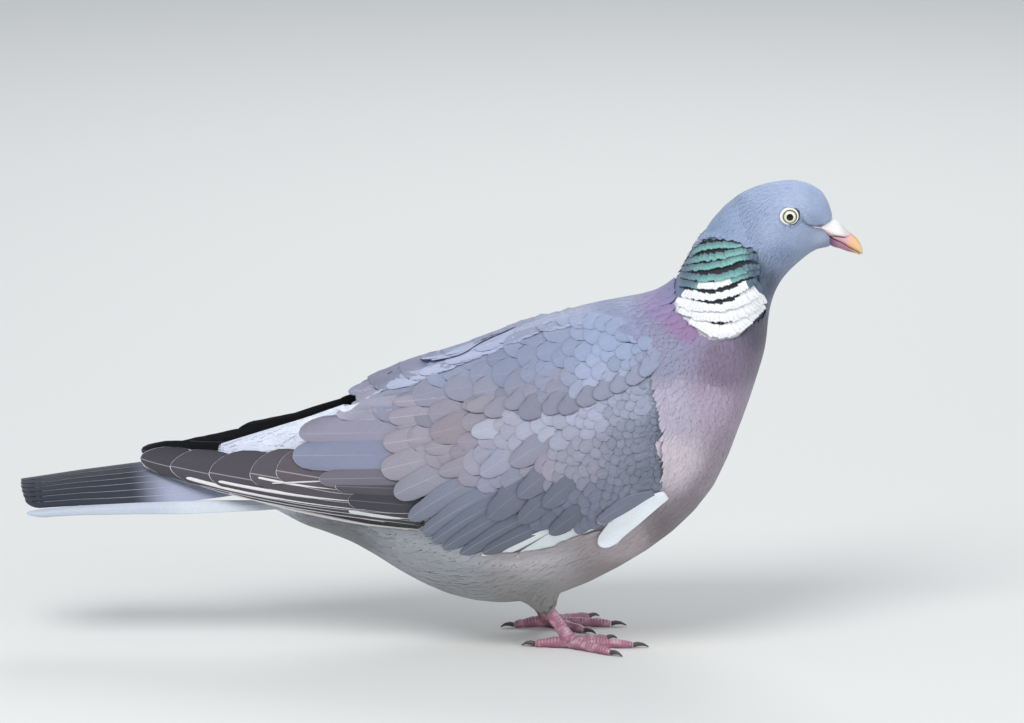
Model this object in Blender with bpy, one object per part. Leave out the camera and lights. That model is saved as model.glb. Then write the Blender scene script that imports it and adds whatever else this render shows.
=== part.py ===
"""Common wood pigeon, life size, standing on both feet with its wings folded.

Blender 4.5, metres, +Z up. The bill points to +X and the bird's right side faces -Y. The origin is on the
floor under the middle of the bird's length and width. All sizes below are in millimetres, and MM turns them
into metres when a solid is made.
"""

import math

import bmesh
import bpy
from mathutils import Vector

MM = 0.001
GAP = 0.3  # the thin cut between neighbouring solids
RIGHT, LEFT = -1, 1  # sign of Y on each side of the bird

BILL_TIP_X = 200.4  # half of the bird's length from bill tip to tail tip
TAIL_TIP_X = -200.4

# Rings of the feathered body, each from a point on the crown or back to one on the throat or belly.
# name, upper x, upper z, lower x, lower z, half width
BODY_STATIONS = (
    ("bill base", 186.9, 203.9, 186.9, 190.8, 4.6),
    ("forehead", 185.2, 210.6, 183.4, 190.2, 7.4),
    ("lores", 180.6, 219.0, 178.2, 189.3, 10.8),
    ("eye", 169.5, 223.7, 171.5, 184.2, 13.6),
    ("ear", 155.5, 222.4, 165.3, 178.2, 15.0),
    ("occiput", 141.5, 217.0, 160.4, 170.8, 16.6),
    ("nape", 128.5, 204.6, 157.8, 162.4, 18.6),
    ("upper neck", 119.5, 189.8, 156.5, 153.6, 21.8),
    ("lower neck", 112.0, 178.0, 155.4, 142.6, 26.4),
    ("neck base", 101.5, 170.0, 151.6, 129.0, 34.5),
    ("crop", 86.0, 166.6, 144.0, 106.2, 43.5),
    ("breast", 68.0, 163.0, 131.2, 75.4, 49.5),
    ("shoulders", 48.0, 156.8, 111.5, 53.0, 51.5),
    ("keel", 26.0, 148.0, 86.0, 35.6, 52.0),
    ("flank", 4.0, 137.5, 58.0, 22.4, 49.5),
    ("thighs", -15.0, 129.0, 30.0, 17.2, 44.5),
    ("vent", -32.0, 120.5, 4.0, 21.4, 38.0),
    ("rump", -49.0, 110.0, -19.0, 33.0, 32.0),
    ("tail root", -66.0, 102.0, -42.0, 47.2, 27.0),
    ("tail coverts", -86.0, 97.0, -74.0, 58.0, 23.5),
    ("covert tips", -106.0, 92.6, -110.0, 64.5, 21.0),
)
HEAD_END, NECK_END = 6.0, 10.0  # where the thin cuts part head, neck and trunk, in stations
RING_POINTS = 32
RINGS_PER_STATION = 2
LOWER_FULLNESS = 0.15  # how much wider a ring is below its middle than above it

# The folded right wing, from the wrist to the tip: points on its upper margin, its middle and its lower margin.
WING_STATIONS = (
    ("wrist", (91.0, -30.0, 157.0), (104.5, -50.2, 112.0), (99.0, -45.5, 76.0)),
    ("alula", (76.0, -21.0, 160.8), (88.0, -53.5, 109.0), (74.0, -43.0, 54.5)),
    ("elbow", (46.0, -16.0, 155.2), (54.0, -56.3, 103.0), (34.0, -39.5, 46.0)),
    ("tertial bases", (10.0, -16.0, 140.2), (16.0, -54.0, 96.0), (2.0, -38.0, 52.5)),
    ("tertials", (-26.0, -17.5, 126.0), (-24.0, -45.0, 93.0), (-32.0, -33.0, 61.0)),
    ("secondary tips", (-62.0, -19.5, 104.0), (-66.0, -32.5, 86.0), (-72.0, -27.0, 67.0)),
    ("primaries", (-104.0, -13.0, 96.5), (-106.0, -21.5, 87.0), (-108.0, -22.5, 77.0)),
    ("wing tip", (-139.0, -6.0, 92.8), (-142.5, -9.5, 90.0), (-139.0, -12.0, 87.0)),
)
WING_THICKNESS = (  # at the middle and at the margins of each station
    (5.0, 1.5),
    (8.0, 2.0),
    (8.5, 2.0),
    (8.0, 2.5),
    (6.5, 3.5),
    (5.5, 4.0),
    (4.2, 2.0),
    (2.0, 1.0),
)
LEFT_WING_LIFT = (0.0, 0.0, 0.0, 1.0, 3.0, 6.0, 4.5, 1.0)  # how much higher the left wing's rear lies
WING_PARTS = (("coverts", 0.0, 3.4), ("secondaries", 3.4, 5.0), ("primaries", 5.0, 7.0))
WING_ACROSS = 11
WING_RINGS_PER_STATION = 2.5
WING_CLEARANCE = 16.0  # how far out of the wing its cutter reaches, so that no body is left outside the wing

# The folded tail, an arched plate: x, half width, height of the ridge, drop to the edges, thickness
TAIL_STATIONS = (
    (-122.0, 23.0, 88.4, 18.5, 8.0),
    (-145.0, 24.0, 85.9, 17.0, 6.5),
    (-172.0, 24.5, 82.3, 14.5, 5.2),
    (-188.0, 23.5, 79.8, 11.5, 4.4),
    (-196.5, 19.0, 78.4, 6.5, 3.8),
    (TAIL_TIP_X, 11.0, 77.6, 2.5, 3.0),
)
TAIL_ACROSS = 10

# The bill, from behind its base to its tip: x, culmen, nostril line, mouth line, keel, half width
BILL_STATIONS = (
    (182.0, 200.6, 199.2, 197.8, 194.0, 6.1),
    (184.0, 202.4, 197.6, 196.5, 192.5, 5.8),
    (187.0, 203.8, 196.5, 195.2, 190.9, 5.1),
    (189.6, 202.4, 196.1, 194.1, 190.3, 4.5),
    (191.8, 199.9, 195.9, 193.1, 189.5, 3.9),
    (194.0, 197.9, 195.6, 191.6, 188.8, 3.5),
    (196.6, 196.1, 194.4, 190.0, 188.1, 2.9),
    (198.6, 193.9, 192.6, 188.7, 187.4, 2.2),
    (199.9, 191.6, 190.4, 187.6, 186.9, 1.4),
    (BILL_TIP_X, 189.4, 189.0, 187.4, 187.0, 0.9),
)
CULMEN, NOSTRIL_LINE, MOUTH_LINE, KEEL = 1, 2, 3, 4
CERE_END, LOWER_START, LOWER_END = 5.0, 2.15, 7.0  # stations where the cere ends and the lower bill runs
BILL_RINGS_PER_STATION = 2
BILL_POINTS = 12

EYE_CENTRE = (166.4, 9.1, 208.3)  # x, distance from the middle, z
EYE_RADIUS = 5.6
EYE_SEGMENTS, EYE_RINGS = 14, 8

FOOT_X = {RIGHT: 61.0, LEFT: 51.0}  # the right foot stands a little ahead
FOOT_Y = 21.5
SHANK_RISE = ((0.0, 4.2), (-2.6, 8.6), (-8.0, 16.4))  # tarsus, x from the foot and z, from the foot up
SHANK_RADII = (4.0, 2.9, 3.1)
THIGH_RISE = ((-8.2, 16.8), (-12.0, 23.5), (-20.0, 42.0))
THIGH_RADII = (4.6, 8.6, 14.5)
HUB_RADIUS = 4.2
# name, heading in degrees from straight ahead towards the middle of the bird, length, claw length
TOES = (
    ("inner", 37.0, 18.0, 6.5),
    ("middle", 0.0, 26.0, 7.5),
    ("outer", -37.0, 20.5, 6.5),
    ("hind", 172.0, 11.5, 6.5),
)
TOE_RADII = (1.2, 2.2, 2.4, 2.0, 2.2, 1.7)  # pads and the slimmer joints between them
TOE_POINTS, CLAW_POINTS = 10, 8
CLAW_RISE = ((0.0, 1.5), (0.3, 2.0), (0.65, 1.8), (1.0, 0.6))  # share of the claw's length, height
CLAW_RADII = (1.35, 1.15, 0.8, 0.35)

COLOURS = {  # base colour, roughness
    "head_grey": ((0.26, 0.31, 0.40), 0.7),
    "neck_grey": ((0.22, 0.28, 0.32), 0.6),
    "body_mauve": ((0.42, 0.34, 0.35), 0.75),
    "wing_grey": ((0.24, 0.24, 0.28), 0.65),
    "flight_dark": ((0.09, 0.08, 0.09), 0.6),
    "tail_slate": ((0.07, 0.08, 0.11), 0.6),
    "thigh_grey": ((0.45, 0.45, 0.46), 0.8),
    "leg_skin": ((0.42, 0.12, 0.20), 0.5),
    "claw_horn": ((0.10, 0.08, 0.07), 0.4),
    "eye_pale": ((0.75, 0.72, 0.48), 0.1),
    "cere_white": ((0.85, 0.78, 0.76), 0.5),
    "bill_yellow": ((0.80, 0.42, 0.18), 0.35),
    "bill_pink": ((0.72, 0.30, 0.32), 0.35),
}


def clear_scene():
    for obj in list(bpy.data.objects):
        bpy.data.objects.remove(obj)


def material(name):
    """The named finish, made once."""
    found = bpy.data.materials.get(name)
    if found:
        return found
    colour, roughness = COLOURS[name]
    made = bpy.data.materials.new(name)
    made.use_nodes = True
    shader = made.node_tree.nodes["Principled BSDF"]
    shader.inputs["Base Color"].default_value = (*colour, 1.0)
    shader.inputs["Roughness"].default_value = roughness
    return made


def spline(rows, at):
    """The row at a fractional index, on a smooth curve through the rows of numbers."""
    last = len(rows) - 1
    low = min(int(at), last - 1)
    share = at - low
    before, start, end, after = (rows[min(max(low + k, 0), last)] for k in (-1, 0, 1, 2))
    return tuple(
        b + 0.5 * share * (c - a + share * (2 * a - 5 * b + 4 * c - d + share * (3 * (b - c) + d - a)))
        for a, b, c, d in zip(before, start, end, after, strict=True)
    )


def steps(start, end, count):
    return [start + (end - start) * k / count for k in range(count + 1)]


def close_end(shape, loop):
    """Faces across a ring, each joining its two sides."""
    for k in range(len(loop) // 2 - 1):
        near, far = loop[k], loop[-1 - k]
        next_near, next_far = loop[k + 1], loop[-2 - k]
        shape.faces.new((near, next_near, next_far))
        shape.faces.new((near, next_far, far))


def loft(name, rings, finish, hidden=False):
    """A closed solid through rings of points in millimetres."""
    shape = bmesh.new()
    loops = [[shape.verts.new(Vector(p) * MM) for p in ring] for ring in rings]
    for first, second in zip(loops, loops[1:], strict=False):
        for k, corner in enumerate(first):
            after = (k + 1) % len(first)
            shape.faces.new((corner, first[after], second[after]))
            shape.faces.new((corner, second[after], second[k]))
    close_end(shape, loops[0])
    close_end(shape, loops[-1])
    bmesh.ops.recalc_face_normals(shape, faces=shape.faces)
    mesh = bpy.data.meshes.new(name)
    shape.to_mesh(mesh)
    shape.free()
    mesh.materials.append(material(finish))
    mesh.shade_smooth()
    mesh.set_sharp_from_angle(angle=math.radians(50))
    made = bpy.data.objects.new(name, mesh)
    bpy.context.scene.collection.objects.link(made)
    if hidden:
        made.hide_render = True
        made.display_type = "WIRE"
    return made


def cut(obj, cutter):
    modifier = obj.modifiers.new("cut_" + cutter.name, "BOOLEAN")
    modifier.operation = "DIFFERENCE"
    modifier.solver = "EXACT"
    modifier.object = cutter


def body_ring(at, shift=0.0, grow=0.0):
    """A ring of the body at a fractional station, moved along the body by shift and swollen by grow."""
    upper_x, upper_z, lower_x, lower_z, half_width = spline([row[1:] for row in BODY_STATIONS], at)
    upper, lower = Vector((upper_x, 0.0, upper_z)), Vector((lower_x, 0.0, lower_z))
    rise = (upper - lower) / 2
    middle = (upper + lower) / 2 + Vector((rise.z, 0.0, -rise.x)).normalized() * shift
    rise += rise.normalized() * grow
    half_width += grow
    ring = []
    for k in range(RING_POINTS):
        angle = 2 * math.pi * k / RING_POINTS
        width = half_width * math.sin(angle) * (1 - LOWER_FULLNESS * math.cos(angle))
        ring.append(middle + rise * math.cos(angle) + Vector((0.0, width, 0.0)))
    return ring


def body_part(name, start, end, finish, gap_at_start, grow=0.0, hidden=False):
    """The length of the body between two stations. Its first ring stands back by GAP if a piece lies ahead."""
    count = round((end - start) * RINGS_PER_STATION)
    rings = [body_ring(at, grow=grow) for at in steps(start, end, count)]
    if gap_at_start:
        rings[0] = body_ring(start, shift=-GAP, grow=grow)
    return loft(name, rings, finish, hidden)


def wing_point(at, across, inner, grow):
    """A point of the right wing: at runs along it and across from its upper to its lower margin.

    grow moves the point out of the wing's own surface.
    """
    numbers = spline([sum(row[1:], ()) for row in WING_STATIONS], at)
    top, middle, bottom = (Vector(numbers[k : k + 3]) for k in (0, 3, 6))
    # A curve through the three points, and its slope, which gives the direction out of the wing.
    centre = 4 * across * (1 - across)
    place = top * (1 - across) + bottom * across + (middle - (top + bottom) / 2) * centre
    slope = bottom - top + (middle - (top + bottom) / 2) * (4 - 8 * across)
    outwards = Vector((0.0, -1.0, 0.0)) if slope.yz.length < 1e-6 else Vector((0.0, slope.z, -slope.y)).normalized()
    thick, edge_thick = spline(WING_THICKNESS, at)
    thick = edge_thick + (thick - edge_thick) * math.sin(math.pi * across) ** 0.6
    return place - outwards * (thick + grow) if inner else place + outwards * grow


def wing_ring(at, side, cutter=False):
    """The wing's section: down its outside and back up its inside."""
    out, gap = (WING_CLEARANCE, GAP) if cutter else (0.0, 0.0)
    outside = [wing_point(at, k / WING_ACROSS, False, out) for k in range(WING_ACROSS + 1)]
    inside = [wing_point(at, k / WING_ACROSS, True, gap) for k in range(WING_ACROSS, -1, -1)]
    lift = (inside[-1] - inside[0]).normalized() * gap
    for edge, move in ((outside[0], lift), (inside[-1], lift), (outside[-1], -lift), (inside[0], -lift)):
        edge += move
    if side == RIGHT:
        return outside + inside
    raised = spline([(lift,) for lift in LEFT_WING_LIFT], at)[0]
    return [Vector((p.x, -p.y, p.z + raised)) for p in outside + inside]


def wing_steps(start, end):
    return steps(start, end, round((end - start) * WING_RINGS_PER_STATION))


def wing(side, letter):
    for name, start, end in WING_PARTS:
        rings = [wing_ring(at, side) for at in wing_steps(start, end)]
        if start > 0:
            rings[0] = [p + Vector((-GAP, 0.0, 0.0)) for p in rings[0]]
        finish = "flight_dark" if name == "primaries" else "wing_grey"
        loft(f"wing_{name}_{letter}", rings, finish)


def wing_cutter(side, letter):
    """The wing's whole shape and the space outside it, a thin cut larger all round."""
    places = sorted({at for _, start, end in WING_PARTS for at in wing_steps(start, end)})
    rings = [wing_ring(at, side, cutter=True) for at in places]
    rings[0] = [p + Vector((GAP, 0.0, 0.0)) for p in rings[0]]
    rings[-1] = [p + Vector((-GAP, 0.0, 0.0)) for p in rings[-1]]
    return loft(f"wing_space_{letter}", rings, "wing_grey", hidden=True)


def tail_ring(x, half_width, ridge, drop, thick, lean=0.0):
    """The tail's section, over its top and back under it. lean tips it along the bird."""
    top = []
    under = []
    for k in range(TAIL_ACROSS + 1):
        share = 2 * k / TAIL_ACROSS - 1
        z = ridge - drop * share**2
        depth = thick * (1 - 0.35 * share**2)
        top.append(Vector((x + lean * (z - ridge), half_width * share, z)))
        under.append(Vector((x + lean * (z - depth - ridge), half_width * share, z - depth)))
    return top + under[::-1]


def tail(body_end):
    """The folded tail feathers, from the tips of the tail coverts."""
    upper, lower = body_end[0], body_end[RING_POINTS // 2]
    lean = (upper.x - lower.x) / (upper.z - lower.z)
    root_x = upper.x - GAP * 1.2 + lean * (92.5 - upper.z)
    rings = [tail_ring(root_x, 21.0, 92.5, 17.0, 12.0, lean)]
    last = len(TAIL_STATIONS) - 1
    rings += [tail_ring(*spline(TAIL_STATIONS, at)) for at in steps(0.0, last, 9)]
    loft("tail", rings, "tail_slate")


def bill_rings(start, end, upper, lower, grow=0.0):
    """Rings of the bill between two of its lines, given by their columns in BILL_STATIONS.

    They are rounded towards the air and squarer where two parts of the bill meet.
    """
    rings = []
    for at in steps(start, end, round((end - start) * BILL_RINGS_PER_STATION)):
        row = spline(BILL_STATIONS, at)
        top = row[upper] + grow - (0.0 if upper == CULMEN else GAP)
        bottom, half_width = row[lower] - grow, row[-1] + grow
        middle, rise = (top + bottom) / 2, (top - bottom) / 2
        ring = []
        for k in range(BILL_POINTS):
            angle = 2 * math.pi * k / BILL_POINTS
            up, out = math.cos(angle), math.sin(angle)
            airy = upper == CULMEN if up > 0 else lower == KEEL
            out = math.copysign(abs(out) ** (0.8 if airy else 0.5), out)
            ring.append(Vector((row[0], half_width * out, middle + rise * up)))
        rings.append(ring)
    return rings


def bill(head):
    """Cere, upper bill and lower bill, with their seat in the head."""
    last = float(len(BILL_STATIONS) - 1)
    loft("cere", bill_rings(0.0, CERE_END, CULMEN, NOSTRIL_LINE), "cere_white")
    under_cere = bill_rings(0.0, CERE_END, NOSTRIL_LINE, MOUTH_LINE)
    loft("bill_upper", under_cere + bill_rings(CERE_END + 0.15, last, CULMEN, MOUTH_LINE), "bill_yellow")
    loft("bill_lower", bill_rings(LOWER_START, LOWER_END, MOUTH_LINE, KEEL), "bill_pink")
    for name, upper, lower in (("cere_seat", CULMEN, NOSTRIL_LINE), ("bill_seat", NOSTRIL_LINE, MOUTH_LINE)):
        cut(head, loft(name, bill_rings(-0.1, LOWER_START, upper, lower, GAP), "cere_white", hidden=True))


def eye(side, letter, head):
    """An eyeball, and its socket in the head."""
    x, out, z = EYE_CENTRE
    for name, radius in ((f"eye_{letter}", EYE_RADIUS), (f"socket_{letter}", EYE_RADIUS + GAP)):
        shape = bmesh.new()
        bmesh.ops.create_uvsphere(shape, u_segments=EYE_SEGMENTS, v_segments=EYE_RINGS, radius=radius * MM)
        mesh = bpy.data.meshes.new(name)
        shape.to_mesh(mesh)
        shape.free()
        mesh.materials.append(material("eye_pale"))
        mesh.shade_smooth()
        made = bpy.data.objects.new(name, mesh)
        made.location = Vector((x, side * out, z)) * MM
        bpy.context.scene.collection.objects.link(made)
        if name.startswith("socket"):
            made.hide_render = True
            made.display_type = "WIRE"
            cut(head, made)


def tube(name, path, radii, points, finish, heading=None, on_floor=False):
    """A tapering limb along a path, its rings square to the path or to heading.

    on_floor flattens whatever would reach below the floor.
    """
    rings = []
    path = [Vector(p) for p in path]
    for k, (place, radius) in enumerate(zip(path, radii, strict=True)):
        along = heading or (path[min(k + 1, len(path) - 1)] - path[max(k - 1, 0)]).normalized()
        out = Vector((0.0, 0.0, 1.0)).cross(along)
        out = out.normalized() if out.length > 1e-6 else Vector((0.0, 1.0, 0.0))
        up = along.cross(out)
        ring = []
        for n in range(points):
            angle = 2 * math.pi * n / points
            p = place + (out * math.cos(angle) + up * math.sin(angle)) * radius
            if on_floor:
                p.z = max(p.z, 0.0)
            ring.append(p)
        rings.append(ring)
    return loft(name, rings, finish)


def toe(side, letter, foot, name, heading, length, claw_length):
    """One toe, flat on the floor, and its claw, whose point hangs just above the floor."""
    angle = math.radians(heading) * -side
    along = Vector((math.cos(angle), math.sin(angle), 0.0))
    joints = len(TOE_RADII) - 1
    path = []
    for k in range(joints + 1):
        share = k / joints
        arch = 0.5 * math.sin(math.pi * share)
        path.append(foot + along * (HUB_RADIUS + GAP + length * share) + Vector((0.0, 0.0, 2.3 - 0.9 * share + arch)))
    tube(f"toe_{name}_{letter}", path, TOE_RADII, TOE_POINTS, "leg_skin", along, on_floor=True)
    base = foot + along * (HUB_RADIUS + length + GAP * 2)
    claw = [base + along * claw_length * share + Vector((0.0, 0.0, rise)) for share, rise in CLAW_RISE]
    tube(f"claw_{name}_{letter}", claw, CLAW_RADII, CLAW_POINTS, "claw_horn", along, on_floor=True)


def leg(side, letter, body):
    """Feathered thigh, bare tarsus, toes and claws."""
    foot = Vector((FOOT_X[side], side * FOOT_Y, 0.0))
    shank = [foot + Vector((x, 0.0, z)) for x, z in SHANK_RISE]
    tube(f"tarsus_{letter}", shank, SHANK_RADII, 12, "leg_skin", on_floor=True)
    thigh_path = [foot + Vector((x, 0.0, z)) for x, z in THIGH_RISE]
    thigh = tube(f"thigh_{letter}", thigh_path, THIGH_RADII, 16, "thigh_grey")
    cut(thigh, body)
    for name, heading, length, claw_length in TOES:
        toe(side, letter, foot, name, heading, length, claw_length)


def main():
    clear_scene()
    last = float(len(BODY_STATIONS) - 1)
    head = body_part("head", 0.0, HEAD_END, "head_grey", gap_at_start=False)
    neck = body_part("neck", HEAD_END, NECK_END, "neck_grey", gap_at_start=True)
    trunk = body_part("trunk", NECK_END, last, "body_mauve", gap_at_start=True)
    whole_body = body_part("body_space", 0.0, last, "body_mauve", False, grow=GAP, hidden=True)
    for side, letter in ((RIGHT, "r"), (LEFT, "l")):
        wing(side, letter)
        space = wing_cutter(side, letter)
        cut(trunk, space)
        cut(neck, space)
        eye(side, letter, head)
        leg(side, letter, whole_body)
    tail(body_ring(last))
    bill(head)


main()
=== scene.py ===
"""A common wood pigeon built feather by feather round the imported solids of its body."""

import math

import bmesh
import bpy
import numpy as np
from mathutils import Matrix, Vector
from mathutils.bvhtree import BVHTree
from mathutils.kdtree import KDTree


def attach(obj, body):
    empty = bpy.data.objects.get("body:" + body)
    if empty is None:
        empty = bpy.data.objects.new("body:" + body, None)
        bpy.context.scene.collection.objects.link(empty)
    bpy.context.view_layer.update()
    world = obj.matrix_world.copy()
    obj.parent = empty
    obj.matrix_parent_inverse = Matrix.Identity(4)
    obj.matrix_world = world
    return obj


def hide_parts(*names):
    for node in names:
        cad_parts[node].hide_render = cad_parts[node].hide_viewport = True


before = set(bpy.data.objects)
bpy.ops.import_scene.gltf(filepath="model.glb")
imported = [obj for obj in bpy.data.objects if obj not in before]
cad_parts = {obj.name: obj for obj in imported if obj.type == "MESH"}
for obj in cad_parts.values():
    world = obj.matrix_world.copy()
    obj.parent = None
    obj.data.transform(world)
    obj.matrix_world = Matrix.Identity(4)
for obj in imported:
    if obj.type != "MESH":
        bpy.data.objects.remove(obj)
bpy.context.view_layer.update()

MM = 0.001
PER_METRE = 1000.0  # millimetres
RNG = np.random.default_rng(38)
SCENE = bpy.context.scene

FLESH_NODES = ("head", "neck", "trunk", "thigh_r", "thigh_l")
SKIN_NODES = (*FLESH_NODES, "wing_coverts_r", "wing_coverts_l")
SIDES = ((-1, "r"), (1, "l"))  # the right side is turned to the camera
SKIN_VOXEL, FOOT_VOXEL, CLAW_VOXEL = 1.5 * MM, 0.32 * MM, 0.22 * MM
CAMERA_TILT = 12.0  # degrees above the horizon
CAMERA_AIM = Vector((34.0, 0.0, 135.1)) * MM
CAMERA_LENS = 300.0
PICTURE_WIDTH = 487.6 * MM  # what the camera takes in at the bird's distance
SIDE_DROP = 0.2127  # how far a place sinks in the side view for each millimetre it stands off the middle
ROW_REACH = 9.0  # how far round itself a row of the plumage tables counts most, in millimetres
FEATHER_SEAT = 0.003  # a small feather's share of its piece's map
COAT_SPACING, COVERT_SPACING = 0.14, 0.38  # between feathers, over their length
COAT_TRIES, COVERT_TRIES = 340000, 30000  # places tried for the feathers of the coat and of one wing
PIECE_TRIANGLES = 190000  # a region of the coat with more is cut into pieces


# ---------------------------------------------------------------- writing node trees
def worked(operation):
    """The methods that put one Math node over a Flow and the value after it, or before it."""
    return (lambda flow, other: flow.math(operation, flow, other),
            lambda flow, other: flow.math(operation, other, flow))


class Flow:
    """One output of a shader node, with Python's operators standing for Math nodes."""

    __add__, __radd__ = worked("ADD")
    __sub__, __rsub__ = worked("SUBTRACT")
    __mul__, __rmul__ = worked("MULTIPLY")
    __truediv__, __rtruediv__ = worked("DIVIDE")
    __pow__, __rpow__ = worked("POWER")

    def __init__(self, finish, socket):
        self.finish, self.socket = finish, socket

    def math(self, operation, *values):
        return self.finish.node("ShaderNodeMath", {"operation": operation}, *values)

    def __neg__(self):
        return self * -1.0

    def __abs__(self):
        return self.math("ABSOLUTE", self)

    def sin(self):
        return self.math("SINE", self)

    def least(self, other):
        return self.math("MINIMUM", self, other)

    def clamp(self):
        return self.finish.node("ShaderNodeClamp", {}, self)

    def step(self, start, end, low=0.0, high=1.0):
        """Low before start and high after end, with a soft rise between."""
        settings = {"interpolation_type": "SMOOTHSTEP"}
        return self.finish.node("ShaderNodeMapRange", settings, self, start, end, low, high)


class Nodes:
    """A node tree under construction."""

    def node(self, kind, settings, *values, out=0, **named):
        """A node of this type: its settings first, then its inputs in order or by name, then one output."""
        made = self.tree.nodes.new(kind)
        for key, value in settings.items():
            setattr(made, key, value)
        sockets = [socket for socket in made.inputs if socket.enabled]
        for socket, value in zip(sockets, values, strict=False):
            self.feed(socket, value)
        for name, value in named.items():
            self.feed(next(s for s in sockets if s.name == name.replace("_", " ")), value)
        outputs = made.outputs if isinstance(out, str) else [s for s in made.outputs if s.enabled]
        return Flow(self, outputs[out])

    def feed(self, socket, value):
        if isinstance(value, Flow):
            self.tree.links.new(value.socket, socket)
        elif isinstance(value, tuple) and socket.type == "RGBA" and len(value) == 3:
            socket.default_value = (*value, 1.0)
        else:
            socket.default_value = value


class Finish(Nodes):
    """A material round one Principled shader."""

    def __init__(self, name, **sockets):
        self.material = bpy.data.materials.new(name)
        self.material.use_nodes = True
        self.tree = self.material.node_tree
        self.shader = self.tree.nodes["Principled BSDF"]
        self.set(**sockets)

    def set(self, **sockets):
        """Sets or links the shader's sockets: Base_Color=..., Roughness=..."""
        for name, value in sockets.items():
            self.feed(self.shader.inputs[name.replace("_", " ")], value)

    def mix(self, share, first, second, blend="MIX"):
        """Two colours mixed."""
        settings = {"data_type": "RGBA", "blend_type": blend, "clamp_result": False}
        return self.node("ShaderNodeMix", settings, share, first, second)

    def attribute(self, name, out="Color"):
        return self.node("ShaderNodeAttribute", {"attribute_name": name}, out=out)

    def amount(self, name):
        return self.attribute(name, "Fac")

    def place(self):
        """The point's place in the bird's own frame."""
        return self.node("ShaderNodeTexCoord", {}, out="Object")

    def noise(self, vector, scale, detail=2.0, roughness=0.5):
        named = {"Vector": vector, "Scale": scale, "Detail": detail, "Roughness": roughness}
        return self.node("ShaderNodeTexNoise", {}, **named)

    def split(self, vector):
        return [self.node("ShaderNodeSeparateXYZ", {}, vector, out=k) for k in range(3)]

    def join(self, x, y, z):
        return self.node("ShaderNodeCombineXYZ", {}, x, y, z)

    def done(self, colour, relief, depth, strength=0.5):
        """The material, once its colour is set and its fine relief goes this deep in millimetres."""
        bump = self.node("ShaderNodeBump", {}, Strength=strength, Distance=depth * MM, Height=relief)
        self.set(Base_Color=colour, Normal=bump)
        return self.material


def shade(*srgb):
    """Linear colour from the 0 to 255 values that paint charts use."""
    parts = (value / 255 for value in srgb)
    return tuple(c / 12.92 if c <= 0.04045 else ((c + 0.055) / 1.055) ** 2.4 for c in parts)


def tone(*srgb):
    """The same as an array, for blending."""
    return np.array(shade(*srgb))


class Growth(Nodes):
    """A Geometry Nodes tree with inputs of these kinds."""

    def __init__(self, name, **inputs):
        self.tree = bpy.data.node_groups.new(name, "GeometryNodeTree")
        added = self.tree.interface.new_socket
        for way in ("INPUT", "OUTPUT"):
            added("Geometry", in_out=way, socket_type="NodeSocketGeometry")
        self.names = {
            label: added(label, in_out="INPUT", socket_type=f"NodeSocket{kind}").identifier
            for label, kind in inputs.items()
        }
        self.start = self.tree.nodes.new("NodeGroupInput")
        self.end = self.tree.nodes.new("NodeGroupOutput")

    def given(self, label):
        return Flow(self, self.start.outputs[label])

    def field(self, name, kind="FLOAT"):
        return self.node("GeometryNodeInputNamedAttribute", {"data_type": kind}, Name=name)

    def scaled(self, vector, factor):
        return self.node("ShaderNodeVectorMath", {"operation": "SCALE"}, vector, Scale=factor)

    def added(self, first, second):
        return self.node("ShaderNodeVectorMath", {"operation": "ADD"}, first, second)

    def changed(self, kind, geometry, settings=(), **named):
        """The geometry after a node that changes it."""
        return self.node(f"GeometryNode{kind}", dict(settings), Geometry=geometry, **named)


def grown(name, carrier, growth, **values):
    """The plain mesh that a Geometry Nodes tree makes on a carrier object, which is then removed."""
    modifier = carrier.modifiers.new("grow", "NODES")
    modifier.node_group = growth.tree
    for label, value in values.items():
        modifier[growth.names[label]] = value
    made = plain_mesh(carrier)
    bpy.data.objects.remove(carrier)
    made.name = name
    return placed(name, made)


def plain_mesh(obj):
    """An object's mesh with its modifiers applied."""
    bpy.context.view_layer.update()
    graph = bpy.context.evaluated_depsgraph_get()
    return bpy.data.meshes.new_from_object(obj.evaluated_get(graph))


def placed(name, mesh, *materials):
    obj = bpy.data.objects.new(name, mesh)
    SCENE.collection.objects.link(obj)
    for material in materials:
        mesh.materials.append(material)
    return obj


def bmesh_of(*meshes):
    """One bmesh from copies of meshes."""
    shape = bmesh.new()
    for mesh in meshes:
        shape.from_mesh(mesh)
    return shape


def mesh_from(shape, mesh):
    """A mesh, given or newly named, from a bmesh that is then freed."""
    if isinstance(mesh, str):
        mesh = bpy.data.meshes.new(mesh)
    shape.to_mesh(mesh)
    shape.free()
    return mesh


# ---------------------------------------------------------------- the skin
def joined_nodes(*names):
    """One mesh from copies of CAD nodes, its loose triangles merged."""
    shape = bmesh_of(*(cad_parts[name].data for name in names))
    bmesh.ops.remove_doubles(shape, verts=shape.verts, dist=1e-6)
    return mesh_from(shape, "joined")


def soft_hide(name, nodes, voxel, smoothing, every=False, balls=()):
    """A smooth closed hide round several nodes and balls, as a bmesh without inner pockets."""
    mesh = joined_nodes(*nodes)
    if balls:
        shape = bmesh_of(mesh)
        for x, y, z, radius in balls:
            spot = Matrix.Translation(Vector((x, y, z)) * MM)
            bmesh.ops.create_icosphere(shape, subdivisions=3, radius=radius * MM, matrix=spot)
        mesh_from(shape, mesh)
    obj = placed(name, mesh)
    remesh = obj.modifiers.new("remesh", "REMESH")
    remesh.mode, remesh.voxel_size, remesh.use_smooth_shade = "VOXEL", voxel, True
    mesh = plain_mesh(obj)
    bpy.data.objects.remove(obj)
    shape = bmesh_of(mesh)
    if not every:
        keep_largest(shape)
    every_axis = {f"use_axis_{axis}": True for axis in "xyz"}
    for _ in range(smoothing):
        bmesh.ops.smooth_vert(shape, verts=shape.verts, factor=0.5, **every_axis)
    shape.normal_update()
    return shape


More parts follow.
